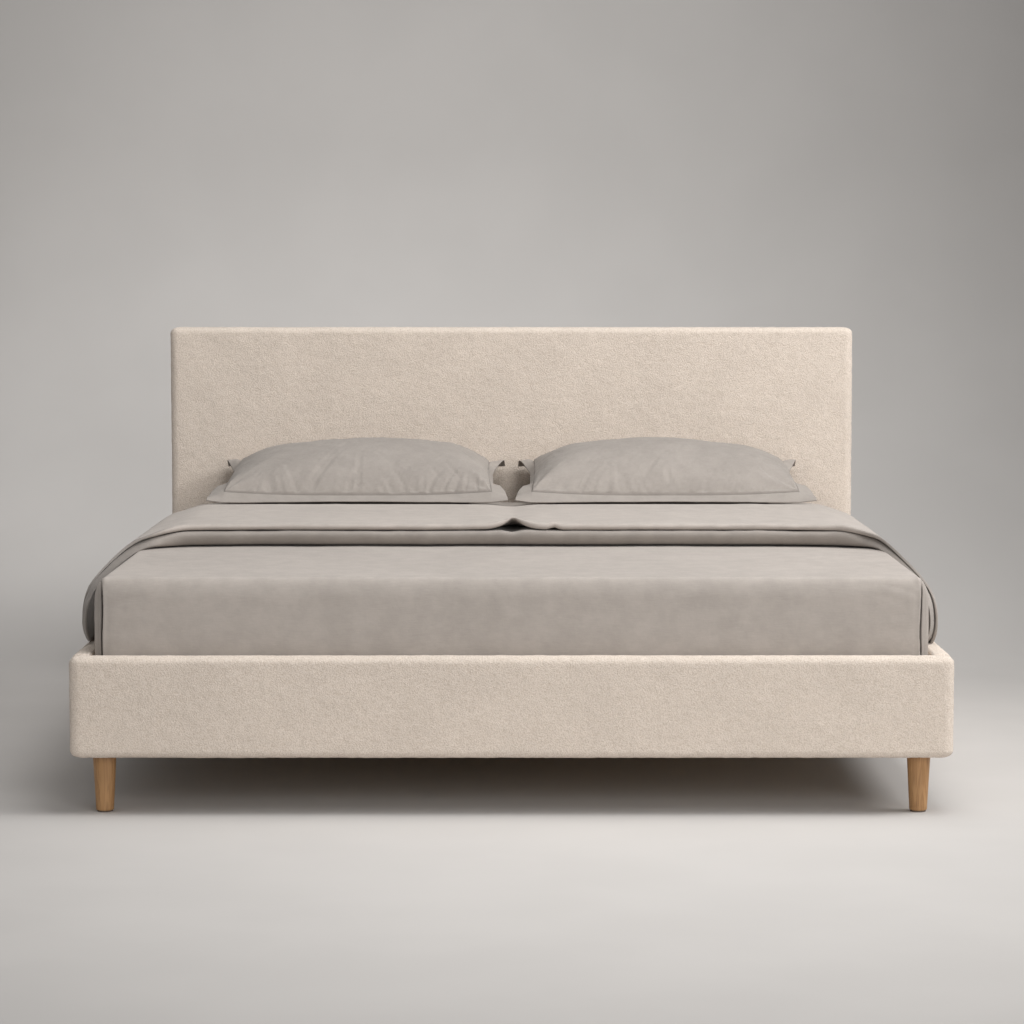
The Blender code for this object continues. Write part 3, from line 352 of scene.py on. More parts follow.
def cotton(name, base):
    """Washed cotton: slubs both ways and a soft mottle, with painted shade where the mesh's darker value says."""
    n = Nodes(name)
    mottle = n.math("MULTIPLY", n.varied(n.cloud(26.0, 4.0, 0.6), MOTTLE), n.varied(n.cloud(5.0, 2.0), MOTTLE * 0.6))
    slubs = [n.cloud(1.0, 3.0, 0.6, n.scaled(way)) for way in ((40.0, 900.0, 900.0), (900.0, 40.0, 900.0))]
    threads = n.math("MULTIPLY", n.math("ADD", *slubs), 0.5)
    tint = n.math("MULTIPLY", mottle, n.varied(threads, 0.05, 0.35))
    # painted shade: the mesh's darker value takes this much off the cloth's colour
    darker = n.node("Attribute", out=2, props={"attribute_name": "darker"})
    tint = n.math("MULTIPLY", tint, n.math("SUBTRACT", 1.0, darker))
    normal = n.bump(threads, 0.3, 0.0008, n.bump(n.cloud(60.0, 3.0, 0.55), 0.3, 0.002))
    return n.finish(base, tint, 0.9, normal, 0.2, Sheen_Weight=0.1, Sheen_Roughness=0.5)


def wood(name, light, dark, grain_axis, scale, rough, gloss):
    """Wood whose grain runs along one axis, with growth rings, pores and a slow change of tone."""
    n = Nodes(name)

    def drawn_out(across, along):
        factors = [across * scale] * 3
        factors[grain_axis] = along * scale
        return n.scaled(tuple(factors))

    swirl = n.cloud(1.0, 4.0, 0.6, drawn_out(28.0, 1.6), 0.8)
    rings = n.math("FRACT", n.math("MULTIPLY", swirl, 7.0))
    ring = n.span(n.math("PINGPONG", rings, 0.5), 0.05, 0.45)
    pore = n.span(n.cloud(1.0, 2.0, 0.7, drawn_out(260.0, 9.0)), 0.56, 0.7)
    colour = n.mix(n.math("MULTIPLY", ring, 0.55), light, dark)
    colour = n.mix(n.math("MULTIPLY", pore, 0.45), colour, times(dark, 0.62))
    tone = n.span(n.cloud(6.0, 2.0), 0.3, 0.7, 0.9, 1.08)
    roughness = n.span(ring, 0.0, 1.0, rough, rough + 0.12)
    return n.finish(colour, tone, roughness, n.bump(n.math("ADD", ring, pore), 0.18, 0.0005), gloss)


def plain(name, base, rough, metallic, grain, depth, vary=0.08, spec=0.5):
    """Black cloth, powder coat, moulded plastic, felt or wire: a grained surface with a slow change of tone."""
    n = Nodes(name)
    speck = n.cloud(grain, 3.0, 0.6)
    tint = n.math("MULTIPLY", n.varied(n.cloud(14.0), vary), n.varied(speck, vary))
    worn = n.varied(n.cloud(30.0), 0.06, middle=rough)
    return n.finish(base, tint, worn, n.bump(speck, 0.35, depth), spec, Metallic=metallic)


def striped(name, base, stripe, pitch):
    """A ticking or webbing weave: stripes lengthwise on the bed, a pitch apart, with woven ribs across them."""
    n = Nodes(name)
    split = n.node("SeparateXYZ", (n.place,)).node
    wave, rib = (
        n.math("SINE", n.math("MULTIPLY", split.outputs[axis], 2 * pi / apart))
        for axis, apart in enumerate((pitch, RIB_PITCH))
    )
    threads = n.cloud(700.0, 2.0, 0.6)
    colour = n.mix(n.math("MULTIPLY", n.span(wave, 0.8, 0.92), 0.75), base, stripe)
    normal = n.bump(rib, 0.25, 0.0004, n.bump(threads, 0.25, 0.0005))
    return n.finish(colour, n.span(threads, 0.3, 0.7, 0.94, 1.05), 0.9, normal, 0.2)


BOUCLE = boucle()
COTTON = cotton("taupe_cotton", (0.421, 0.377, 0.341))
COVER_COTTON = cotton("cover_cotton", (0.452, 0.405, 0.366))
# the pillowcases' copy of the cotton painted darker, standing in for the shade on their steep fronts
SHADED_PILLOW_COTTON = cotton("pillow_cotton", (0.338, 0.303, 0.273))
TICKING = striped("ticking", (0.72, 0.7, 0.66), (0.33, 0.38, 0.47), 0.028)
DUST_CLOTH = plain("dust_cloth", (0.03, 0.029, 0.028), 0.95, 0.0, 900.0, 0.0005, 0.18, 0.2)
WEBBING = striped("webbing", (0.62, 0.58, 0.5), (0.36, 0.33, 0.28), 0.03)
OAK = wood("oak", (0.417, 0.232, 0.1), (0.289, 0.148, 0.059), 2, 1.0, 0.42, 0.45)
PINE_X, PINE_Y, PINE_Z = (
    wood(f"pine_{way}", (0.6, 0.43, 0.25), (0.47, 0.3, 0.15), axis, 0.7, 0.6, 0.3)
    for axis, way in enumerate(("across", "along", "up"))
)
PLYWOOD = wood("plywood", (0.56, 0.42, 0.27), (0.45, 0.31, 0.18), 0, 0.5, 0.65, 0.3)
STEEL = plain("black_steel", (0.03, 0.03, 0.031), 0.42, 0.6, 900.0, 0.00015)
PLASTIC = plain("black_plastic", (0.028, 0.028, 0.029), 0.5, 0.0, 1200.0, 0.00012)
FELT = plain("felt", (0.16, 0.125, 0.1), 1.0, 0.0, 500.0, 0.0008, 0.15, 0.1)
STAPLE = plain("staple", (0.62, 0.61, 0.6), 0.34, 1.0, 300.0, 0.0001)

# the first name that a node starts with gives its material
FINISHES = {
    "headboard_top_rail": PINE_X, "headboard_bottom_rail": PINE_X, "headboard_stile": PINE_Z,
    "headboard_face_panel": PLYWOOD, "foot_rail_board": PINE_X, "side_rail_board": PINE_Y,
    "slat_ledge": PINE_Y, "slat_strap": WEBBING, "slat_": PINE_X, "corner_block": PINE_X, "centre_beam": PINE_Y,
    "leg_glide": FELT, "centre_leg": STEEL, "leg_": OAK, "corner_angle": STEEL, "beam_saddle": STEEL,
    "levelling_pad": PLASTIC, "levelling_stud": STEEL,
}
for node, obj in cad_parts.items():
    for start, mat in FINISHES.items():
        if node.startswith(start):
            obj.data.materials.clear()
            obj.data.materials.append(mat)
            break

# ---- upholstery


def whole(node):
    return tuple(np.array(corner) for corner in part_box(node))


HEAD_LOW, HEAD_HIGH = whole("headboard_cover")
FOOT_LOW, FOOT_HIGH = whole("foot_rail_cover")
SHEET_LOW, SHEET_HIGH = whole("fitted_sheet")
MATTRESS_LOW, MATTRESS_HIGH = whole("mattress")
RAIL_TOP = FOOT_HIGH[2]
LOOP_SIZE, LOOP_HEIGHT, BACK_LOOP_SHARE = 0.0075, 0.00085, 0.15
SKIN = 0.0012
FINEST_LINES = 0.0035
POCKET_ROOM, POCKET_DEEPER = 0.0006, 0.0008
RAIL_WRAP = 0.045
UNDER = np.array([0.0, 0.0, 0.0035])
DUST_INSET, DUST_HEM, STAPLE_INSET = 0.014, 0.024, 0.006
STAPLE_CROWN, STAPLE_WIRE, STAPLE_LEG, STAPLE_SUNK = 0.0105, 0.0011, 0.0022, 0.0006


def nub(points, normal, seed):
    """Looped boucle stands out unevenly, a loop here and there more than the rest."""
    uneven = layered(points, seed, (0.75, LOOP_SIZE), (0.45, LOOP_SIZE * 2.6), (0.6, 0.16))
    return points + normal * (LOOP_HEIGHT * uneven)[:, None]


def upholstery(name, low, high, radii, step, pocket, nodes, seed, wrap=0.0):
    """A fabric-covered padded panel with rounded edges and a hollow at its back for the timber.

    pocket is (axis, side, low corner, high corner, depth to) of the hollow, with side 0 on the panel's low face and
    -1 on its high face, and wrap is how far the fabric comes down over the timber's inner face.
    """
    axis, side, pocket_low, pocket_high, depth_to = pocket
    pocket_low = pocket_low - POCKET_ROOM
    pocket_high = pocket_high + POCKET_ROOM - np.array([0.0, 0.0, wrap])
    u_axis, v_axis = (a for a in range(3) if a != axis)
    lines = []
    for a in range(3):
        edge = min(radii[a] * 1.02, (high[a] - low[a]) / 2 - 1e-4)
        rims = () if a == axis else (pocket_low[a], pocket_high[a])
        lines.append(spaced(low[a], high[a], step, edge, max(FINEST_LINES, radii[a] / 7), rims))

    def open_back(at_axis, at_side, u, v):
        return (
            at_axis == axis and at_side == side
            and pocket_low[u_axis] < u < pocket_high[u_axis] and pocket_low[v_axis] < v < pocket_high[v_axis]
        )

    obj, co, no = soft_box(name, lines, low, high, radii, open_back, BOUCLE, "frame", nodes, "boucle")
    at_back = no[:, axis] * (1 if side == -1 else -1) > 0.5
    co = co + no * np.where(at_back & (wrap > 0), SKIN, -SKIN)[:, None]
    looped = nub(co, no, seed)
    set_coords(obj, np.where(at_back[:, None], co + (looped - co) * BACK_LOOP_SHARE, looped))
    hollow_behind(obj.data, axis, depth_to)
    smooth(obj.data)


def headboard():
    frame_low = np.minimum(whole("headboard_stile_left")[0], whole("headboard_bottom_rail")[0])
    frame_high = np.maximum(whole("headboard_stile_right")[1], whole("headboard_top_rail")[1])
    panel_low, panel_high = whole("headboard_face_panel")
    low, high = np.minimum(frame_low, panel_low), np.maximum(frame_high, panel_high)
    back = HEAD_HIGH.copy()
    back[1] -= 0.0025
    upholstery(
        "headboard_upholstery", HEAD_LOW, back, (0.024, 0.02, 0.018), 0.0065,
        (1, -1, low, high, panel_low[1] - POCKET_DEEPER), ["headboard_cover", "headboard_foam"], 11,
    )


def foot_rail():
    board_low, board_high = whole("foot_rail_board")
    upholstery(
        "foot_rail_upholstery", FOOT_LOW - UNDER, FOOT_HIGH, (0.026, 0.022, 0.018), 0.006,
        (1, -1, board_low, board_high, board_low[1] - POCKET_DEEPER), ["foot_rail_cover"], 23, RAIL_WRAP,
    )


def side_rail(name, side):
    low, high = whole(f"side_rail_cover_{name}")
    board_low, board_high = whole(f"side_rail_board_{name}")
    inner, depth = (-1, board_low[0] - POCKET_DEEPER) if side < 0 else (0, board_high[0] + POCKET_DEEPER)
    upholstery(
        f"side_rail_upholstery_{name}", low - UNDER, high, (0.018, 0.006, 0.018), 0.0075,
        (0, inner, board_low, board_high, depth), [f"side_rail_cover_{name}"], 31 + side, RAIL_WRAP,
    )


def thicken(obj, thickness):
    shell = obj.modifiers.new("cloth", "SOLIDIFY")
    shell.thickness = thickness
    made = bpy.data.meshes.new_from_object(obj.evaluated_get(bpy.context.evaluated_depsgraph_get()))
    smooth(made)
    old = obj.data
    obj.modifiers.clear()
    obj.data = made
    bpy.data.meshes.remove(old)


def stretched_cloth(name, points, rows, mat, node, slot, outward, thickness):
    """A thin cloth on a grid of points, its outer face along the outward axis, standing in for its part."""
    obj = formed(name, points, grid_faces(rows, len(points) // rows), mat, "frame", [node], slot)
    if obj.data.polygons[0].normal[outward] < 0:
        obj.data.flip_normals()
    thicken(obj, thickness)


def back_cloth():
    """A thin black cloth stapled over the headboard's back, its hem turned under and a little slack."""
    low, high = whole("headboard_back_cloth")
    xs, zs = (spaced(low[a] + DUST_INSET, high[a] - DUST_INSET, 0.016, 0.014, 0.0035) for a in (0, 2))
    gx, gz = crossed(xs, zs)
    points = columns(gx, high[1] - 0.0008, gz)
    edge = np.minimum.reduce([gx - xs[0], xs[-1] - gx, gz - zs[0], zs[-1] - gz])
    hem = 0.0006 * (1 - unit((edge - 0.01) / 0.004))
    pull = np.sin(2 * pi * (points[:, 0] + points[:, 2]) / 0.076) * unit(1 - edge / 0.09)
    slack = layered(points, 41, (0.5, (0.12, 1.0, 0.2)), (0.2, (0.05, 1.0, 0.05)))
    points[:, 1] += hem - 0.0004 + 0.0004 * (slack + 0.6 * pull) * unit(edge / 0.02)
    points[:, 1] = np.minimum(points[:, 1], high[1] - 0.0002)
    stretched_cloth("headboard_dust_cloth", points, len(xs), DUST_CLOTH, "headboard_back_cloth", "dust_cloth", 1,
                    0.0006)
    staples(xs[0] + STAPLE_INSET, xs[-1] - STAPLE_INSET, zs[0] + STAPLE_INSET, zs[-1] - STAPLE_INSET, high[1])


def staples(x0, x1, z0, z1, y):
    """Wire staples round the cloth's hem, each a flat crown with its ends turned in."""
    bm = bmesh.new()
    places = [(x, z, 0.0) for x in np.linspace(x0, x1, 26) for z in (z0, z1)]
    places += [(x, z, pi / 2) for z in np.linspace(z0, z1, 13)[1:-1] for x in (x0, x1)]
    for k, (x, z, turn) in enumerate(places):
        lean = radians(float(hashed(np.array([[k, 3, 5]]), 7)[0] * 24 - 12)) + turn
        for along in (-STAPLE_CROWN / 2, 0.0, STAPLE_CROWN / 2):
            width, deep, sunk = (STAPLE_WIRE, STAPLE_LEG, STAPLE_SUNK) if along else (STAPLE_CROWN, STAPLE_WIRE, 0.0)
            place = (
                Matrix.Translation((x, y - STAPLE_SUNK - sunk, z)) @ Matrix.Rotation(lean, 4, "Y")
                @ Matrix.Translation((along, 0.0, 0.0)) @ Matrix.Diagonal((width, deep, STAPLE_WIRE * 0.8, 1.0))
            )
            made = bmesh.ops.create_cube(bm, size=1.0, matrix=place)["verts"]
            bmesh.ops.bevel(bm, geom=list({e for v in made for e in v.link_edges}), offset=0.0002, segments=1,
                            affect="EDGES")
    mesh = bpy.data.meshes.new("staples")
    bm.to_mesh(mesh)
    bm.free()
    piece("staples", mesh, STAPLE, "frame", slot="black_steel")


def slat_straps():
    """Two flat webbing straps over the slats, a little uneven in height."""
    for name in ("left", "right"):
        low, high = whole(f"slat_strap_{name}")
        xs, ys = spaced(low[0], high[0], 0.005), spaced(low[1], high[1], 0.012)
        points = columns(*crossed(xs, ys), high[2])
        points[:, 2] -= 0.0004 + 0.00035 * (1 + noise(points, (0.02, 0.05, 1.0), 51))
        stretched_cloth(f"slat_webbing_{name}", points, len(xs), WEBBING, f"slat_strap_{name}", "webbing", 2, 0.0009)


# ---- mattress and fitted sheet

TICKING_INSET, TICKING_BELOW_TOP = 0.0035, 0.002
TUFT_PITCH, TUFT_WIDTH, TUFT_DEPTH, SIDE_WAVE = 0.22, 0.028, 0.0035, 0.0012
SHEET_CORNER, SHEET_ROLL, SHEET_BULGE, SHEET_TUCK, SHEET_THICKNESS = 0.02, 0.0468, 0.009, 0.11, 0.0011
# how much painted shade darkens each pleat's gap and the flap set back behind it
PLEAT_X, PLEAT_SHADE, FLAP_SHADE = 0.892, 0.8, 0.14
# creases from each pleat: height there, slope, length, depth, and whether only the right side has it
PLEAT_CREASES = (
    (0.47, 0.55, 0.1, 0.0013, True), (0.448, 0.42, 0.13, 0.0011, False),
    (0.425, 0.25, 0.09, 0.0009, True), (0.395, 0.1, 0.11, 0.0008, False),
)


def mattress():
    """A ticking mattress: rolled edges, tufting dimples on its faces and shallow waves down its sides."""
    low, high = MATTRESS_LOW + TICKING_INSET, MATTRESS_HIGH - TICKING_INSET
    low[2] = MATTRESS_LOW[2]
    high[2] = MATTRESS_HIGH[2] - TICKING_BELOW_TOP
    lines = [spaced(low[a], high[a], 0.022, 0.05, 0.009) for a in (0, 1)]
    lines.append(spaced(low[2], high[2], 0.014, 0.05, 0.007))
    obj, co, no = soft_box("mattress_body", lines, low, high, (0.048, 0.048, 0.04), None, TICKING, "bedding",
                           ["mattress"], "ticking")
    flat = abs(no[:, 2]) ** 4
    gx = (co[:, 0] / TUFT_PITCH) % 1.0 - 0.5
    gy = ((co[:, 1] - low[1]) / TUFT_PITCH) % 1.0 - 0.5
    tuft = bump_at(np.hypot(gx, gy) * TUFT_PITCH, 0.0, TUFT_WIDTH)
    side = (1 - flat) * (0.5 + 0.5 * np.cos(2 * pi * (co[:, 0] + co[:, 1]) / 0.11))
    set_coords(obj, co - no * (TUFT_DEPTH * tuft * flat + SIDE_WAVE * side)[:, None])


def fitted_sheet():
    """A fitted sheet drawn over the mattress: pleated at each corner with painted shade in the pleats, faintly creased
    down its sides, tucked under.
    """
    low, high = SHEET_LOW.copy(), SHEET_HIGH.copy()
    low[0] += SHEET_BULGE
    high[0] -= SHEET_BULGE
    near = [s * (PLEAT_X + d) for s in (-1, 1) for d in np.arange(-0.008, 0.0085, 0.001)]
    xs = np.unique(np.round(np.concatenate([spaced(low[0], high[0], 0.011, 0.03, 0.0035), near]), 5))
    ys = spaced(low[1], high[1], 0.013, 0.03, 0.004)
    zs = spaced(low[2], high[2], 0.009, 0.046, 0.005)

    def under(axis, side, u, v):
        inside = abs(u) < high[0] - SHEET_TUCK and low[1] + SHEET_TUCK < v < high[1] - SHEET_TUCK
        return axis == 2 and side == 0 and inside

    obj, co, no = soft_box("fitted_sheet_cloth", (xs, ys, zs), low, high, (SHEET_CORNER, SHEET_CORNER, SHEET_ROLL),
                           under, COTTON, "bedding", ["fitted_sheet"], "taupe_cotton")
    up = unit((co[:, 2] - low[2]) / (high[2] - low[2]))
    level = unit(1 - (2 * up - 1) ** 4)
    side = unit(abs(no[:, 0])) ** 1.5
    to_side = unit((abs(co[:, 0]) - high[0] + 0.026) / 0.026)
    co[:, 0] += np.sign(co[:, 0]) * SHEET_BULGE * 0.92 * level * to_side
    front, rear = unit(-no[:, 1]), unit(no[:, 1])
    x, y, z = co[:, 0], co[:, 1], co[:, 2]
    side_dist = abs(x)
    fall = unit((high[2] - 0.004 - z) / 0.04)
    off, shaded = np.zeros(len(co)), np.zeros(len(co))
    # the corner pleat: the front panel's folded edge, a narrow gap with painted shade, and the side's flap a little
    # behind with lighter painted shade
    for facing in (front, rear):
        line = PLEAT_X + 0.0012 * np.sin(z * 41.0 + np.sign(x) + (facing is rear) * 2.0)
        past = side_dist - line
        on_end = facing > 0.25
        gap = smoothstep((past + 0.0024) / 0.002) * (1 - smoothstep((past - 0.0028) / 0.003))
        flap = smoothstep((past - 0.0012) / 0.003)
        turn_in = bump_at(past, -0.0012, 0.003)
        off -= on_end * fall * (0.018 * gap + 0.0075 * flap + 0.0012 * turn_in)
        off -= 0.0018 * bump_at(past, -0.01, 0.008) * fall * on_end
        hook = bump_at(z, high[2] - 0.006, 0.007) * bump_at(past, -0.006, 0.008)
        off += 0.0022 * hook * on_end
        # painted shade over the gap, a little wider than it, and over the flap
        shade = smoothstep((past + 0.0024) / 0.002) * (1 - smoothstep((past - 0.0042) / 0.003))
        shaded = np.maximum(shaded, on_end * fall * np.maximum(PLEAT_SHADE * shade, FLAP_SHADE * flap))
    # creases drawn from the pleat, slanting up and in
    for height, slope, length, deep, right_only in PLEAT_CREASES:
        run = PLEAT_X - side_dist
        line = height + slope * run * np.clip(1 - run / (2.4 * length), 0.2, 1)
        fading = unit(1 - abs(run - length / 2) / (length / 2))
        off -= deep * bump_at(z, line, 0.005) * fading * front * ((x > 0) | (not right_only))
    # long faint upright folds on the ends and sides, and slight slack on the top
    uprights = noise(columns(x, z * 0.3, 0), (0.05, 0.11, 1.0), 61)
    broad = noise(columns(x, z * 0.5, 0), (0.17, 0.2, 1.0), 62)
    off += (0.0011 * uprights + 0.0014 * broad) * (front + rear) * level
    off += 0.0014 * noise(columns(y, z * 0.3, 0), (0.055, 0.11, 1.0), 63) * side * level
    top = unit(no[:, 2]) ** 3
    off += (layered(co, 64, (0.0008, (0.13, 0.21, 1.0)), (0.0005, (0.045, 0.06, 1.0))) - 0.0006) * top
    off += 0.00035 * noise(co, 0.018, 66)
    co = co + no * off[:, None]
    co[:, 2] = np.minimum(co[:, 2], high[2] + 0.0002)
    set_coords(obj, co)
    paint_shade(obj, shaded)
    thicken(obj, SHEET_THICKNESS)


# ---- turned-back cover

MATTRESS_HALF = MATTRESS_HIGH[0]
COVER_BOTTOM = SHEET_HIGH[2] + 0.0003
LOWER, UPPER, FOLD_GAP = 0.038, 0.015, 0.002
COVER_LOFT = LOWER + UPPER + FOLD_GAP
COVER_TOP = COVER_BOTTOM + COVER_LOFT
LOWER_EDGE_Y = MATTRESS_LOW[1] + 0.744
UPPER_EDGE_Y = MATTRESS_LOW[1] + 0.749
HEAD_END_Y = MATTRESS_HIGH[1] - 0.03
TAPER_Y = MATTRESS_LOW[1] + 1.35
HEAD_SHARE = 0.28
COVER_SLOPE = COVER_LOFT * (1 - HEAD_SHARE) / (HEAD_END_Y - TAPER_Y)
# the front edge's sweep to the foot, by the distance out from the middle along the section
SWEEP = ((0.64, 0.002), (0.78, 0.022), (0.85, 0.062), (0.885, 0.12), (0.905, 0.23), (0.922, 0.42),
         (0.94, 0.56), (0.965, 0.605), (1.02, 0.612), (1.045, 0.6), (1.07, 0.565))
SWEEP_EASE = 0.012
UPPER_BEHIND = {-1: 0.075, 1: 0.022}
LOWER_UNDERCUT, LOWER_CURL, LOWER_CURL_RUN = 0.014, 0.005, 0.06
NARROW_FROM, NARROW_TO, SIDE_SHARE = 0.78, 0.92, 0.46
HEAD_ROUND = 0.006
# the upper layer's raised notch between the pillows, and a small one beside it
NOTCH_X, NOTCH_WIDTH, NOTCH_DEPTH, NOTCH_LIFT = 0.004, 0.028, 0.026, 0.023
SMALL_NOTCH_X, SMALL_NOTCH_WIDTH, SMALL_NOTCH_SHARE = 0.102, 0.011, 0.22
# painted shade: how much darker the lower layer under the upper one, the drapes' front edges in their fold's shade
# (more on the left, away from the light) and the shadow along the line against the sheet are
LOWER_LAYER_SHADE, DRAPE_EDGE_SHADE, CONTACT_SHADOW = 0.27, {-1: 0.54, 1: 0.28}, 0.62
# the lengthwise loop's points, counted from the bottom of the lower layer's front edge
LOWER_EDGE_END, LOWER_TOP_END = 16, 46
UPPER_EDGE_START, UPPER_EDGE_END = 77, 87
UNDERSIDE_START, CONTACT_FRONT, CONTACT_BEHIND = 185, 8, 4
DRAPE_SHIFT, DRAPE_CURL = 0.0075, 0.034
# the underside's section beside the mattress: out from its side, and down from the underside's top
SHOULDER = ((-0.04, 0.0), (-0.012, 0.0), (0.022, 0.03), (0.03, 0.088))
DRAPE_PULL = ((0.034, 0.1155), (0.031, 0.1435))
HEM_OUT = 0.024
HEM_STEPS = (0.01, 0.0065, 0.004, 0.0022, 0.001, 0.0003, 0.0)


def bezier(a, b, c, d, steps):
    t = np.linspace(0, 1, steps)[:, None]
    a, b, c, d = (np.array(p) for p in (a, b, c, d))
    return (1 - t) ** 3 * a + 3 * (1 - t) ** 2 * t * b + 3 * (1 - t) * t**2 * c + t**3 * d


def cover_section(step):
    """Half of the cover's underside across the bed, evenly spaced from the middle to the hem."""
    hem_z = RAIL_TOP + LOWER * SIDE_SHARE / 2
    beside = [(MATTRESS_HALF + x, COVER_BOTTOM - down) for x, down in SHOULDER + DRAPE_PULL]
    shoulder = bezier(*beside[:4], 60)
    drape = bezier(*beside[3:], (MATTRESS_HALF + HEM_OUT, hem_z), 40)
    path = np.concatenate([[(0.0, COVER_BOTTOM)], shoulder, drape[1:]])
    length = np.concatenate([[0], np.cumsum(np.linalg.norm(np.diff(path, axis=0), axis=1))])
    even = length[-1] - HEM_STEPS[0]
    at = np.concatenate([np.linspace(0, even, int(round(even / step)) + 1), length[-1] - np.array(HEM_STEPS[1:])])
    points = columns(*(np.interp(at, length, path[:, k]) for k in (0, 1)))
    tangent = np.gradient(points, at, axis=0)
    tangent /= np.linalg.norm(tangent, axis=1)[:, None]
    normal = columns(-tangent[:, 1], tangent[:, 0])
    normal[0] = (0.0, 1.0)
    return points, normal, at


def cover_front(along, edge):
    places, reaches = zip(*SWEEP)
    spread = np.linspace(-SWEEP_EASE, SWEEP_EASE, 9)
    return edge - float(np.interp(along + spread, places, reaches).mean())


def half_round(edge, middle, half, steps=10, square=1.0, reach=1.0):
    """A rounded front edge from its underside to its top; a low square makes its face flatter."""
    angles = [pi * (i / steps - 0.5) for i in range(steps + 1)]
    return [(edge + reach * half * (1 - abs(cos(a)) ** square),
             middle + half * copysign(abs(sin(a)) ** square, sin(a))) for a in angles]


def through(corners, counts):
    """Points along straight stretches between corners, a fixed number on each, the first corner left out."""
    points = []
    for a, b, count in zip(corners, corners[1:], counts):
        points += [(a[0] + (b[0] - a[0]) * i / count, a[1] + (b[1] - a[1]) * i / count) for i in range(1, count + 1)]
    return points


def cover_loop(x, across, along, hem):
    """The cover cut lengthwise as (along, above the underside), every station with the same number of points."""
    narrowed = smoothstep((across - NARROW_FROM) / (NARROW_TO - NARROW_FROM))
    share = 1 - (1 - SIDE_SHARE) * narrowed
    low, high = LOWER * (1 - 0.48 * narrowed), UPPER * (1 - 0.66 * narrowed)
    half_low, half_high = low / 2 * hem, high / 2 * hem
    mid_low, mid_high = low / 2, low + FOLD_GAP * max(share, 0.5) + high / 2
    lower = cover_front(along, LOWER_EDGE_Y)
    upper = cover_front(along, UPPER_EDGE_Y) + UPPER_BEHIND[-1 if x < 0 else 1] * smoothstep((along - 0.895) / 0.06)
    notch = exp(-(abs(x - NOTCH_X) / NOTCH_WIDTH) ** 1.35)
    notch += SMALL_NOTCH_SHARE * exp(-(((x - SMALL_NOTCH_X) / SMALL_NOTCH_WIDTH) ** 2))
    upper += NOTCH_DEPTH * notch
    lift = NOTCH_LIFT * notch
    half_high *= 1 - 0.35 * notch
    head, bend = HEAD_END_Y, TAPER_Y
    inner, behind = head - UPPER, upper + 0.1
    low_under, low_over = mid_low - half_low, mid_low + half_low
    high_under, high_over = mid_high - half_high, mid_high + half_high

    def level(height, places, counts):
        return through([loop[-1], *((y, height) for y in places)], counts)

    loop = [
        (y + LOWER_UNDERCUT * (1 - narrowed) * max(0.0, (mid_low + 0.45 * half_low - up) / (1.45 * half_low)) ** 1.3
         + DRAPE_CURL * narrowed * max(0.0, (up - mid_low + half_low) / (2 * half_low)) ** 1.3, up)
        for y, up in half_round(lower, mid_low, half_low, 16, 1 - 0.45 * (1 - narrowed), 0.75)
    ]
    loop += level(low_over, (behind, bend, inner), (6, 12, 12))
    loop += [(inner, high_under)]
    lifted = (upper + half_high, high_under + lift)
    loop += through([loop[-1], (bend, high_under), (behind, high_under), lifted], (12, 12, 6))[:-1]
    loop += half_round(upper, mid_high + lift, half_high, 10)
    loop += level(high_over, (behind, bend, head - HEAD_ROUND), (10, 38, 46))
    loop += [(head, mid_high), (head, mid_low), (head - HEAD_ROUND, low_under)]
    loop += level(low_under, (bend, behind, lower + half_low), (10, 10, 6))[:-1]
    curled = []
    for y, up in loop:
        near = 1 - smoothstep((y - lower) / LOWER_CURL_RUN)
        curled.append((y, up + LOWER_CURL * near * max(0.0, 1 - up / mid_low)))
    thinned = (HEAD_SHARE - 1) / (head - bend)
    return [(y, up * (1 + thinned * max(0.0, y - bend))) for y, up in curled]


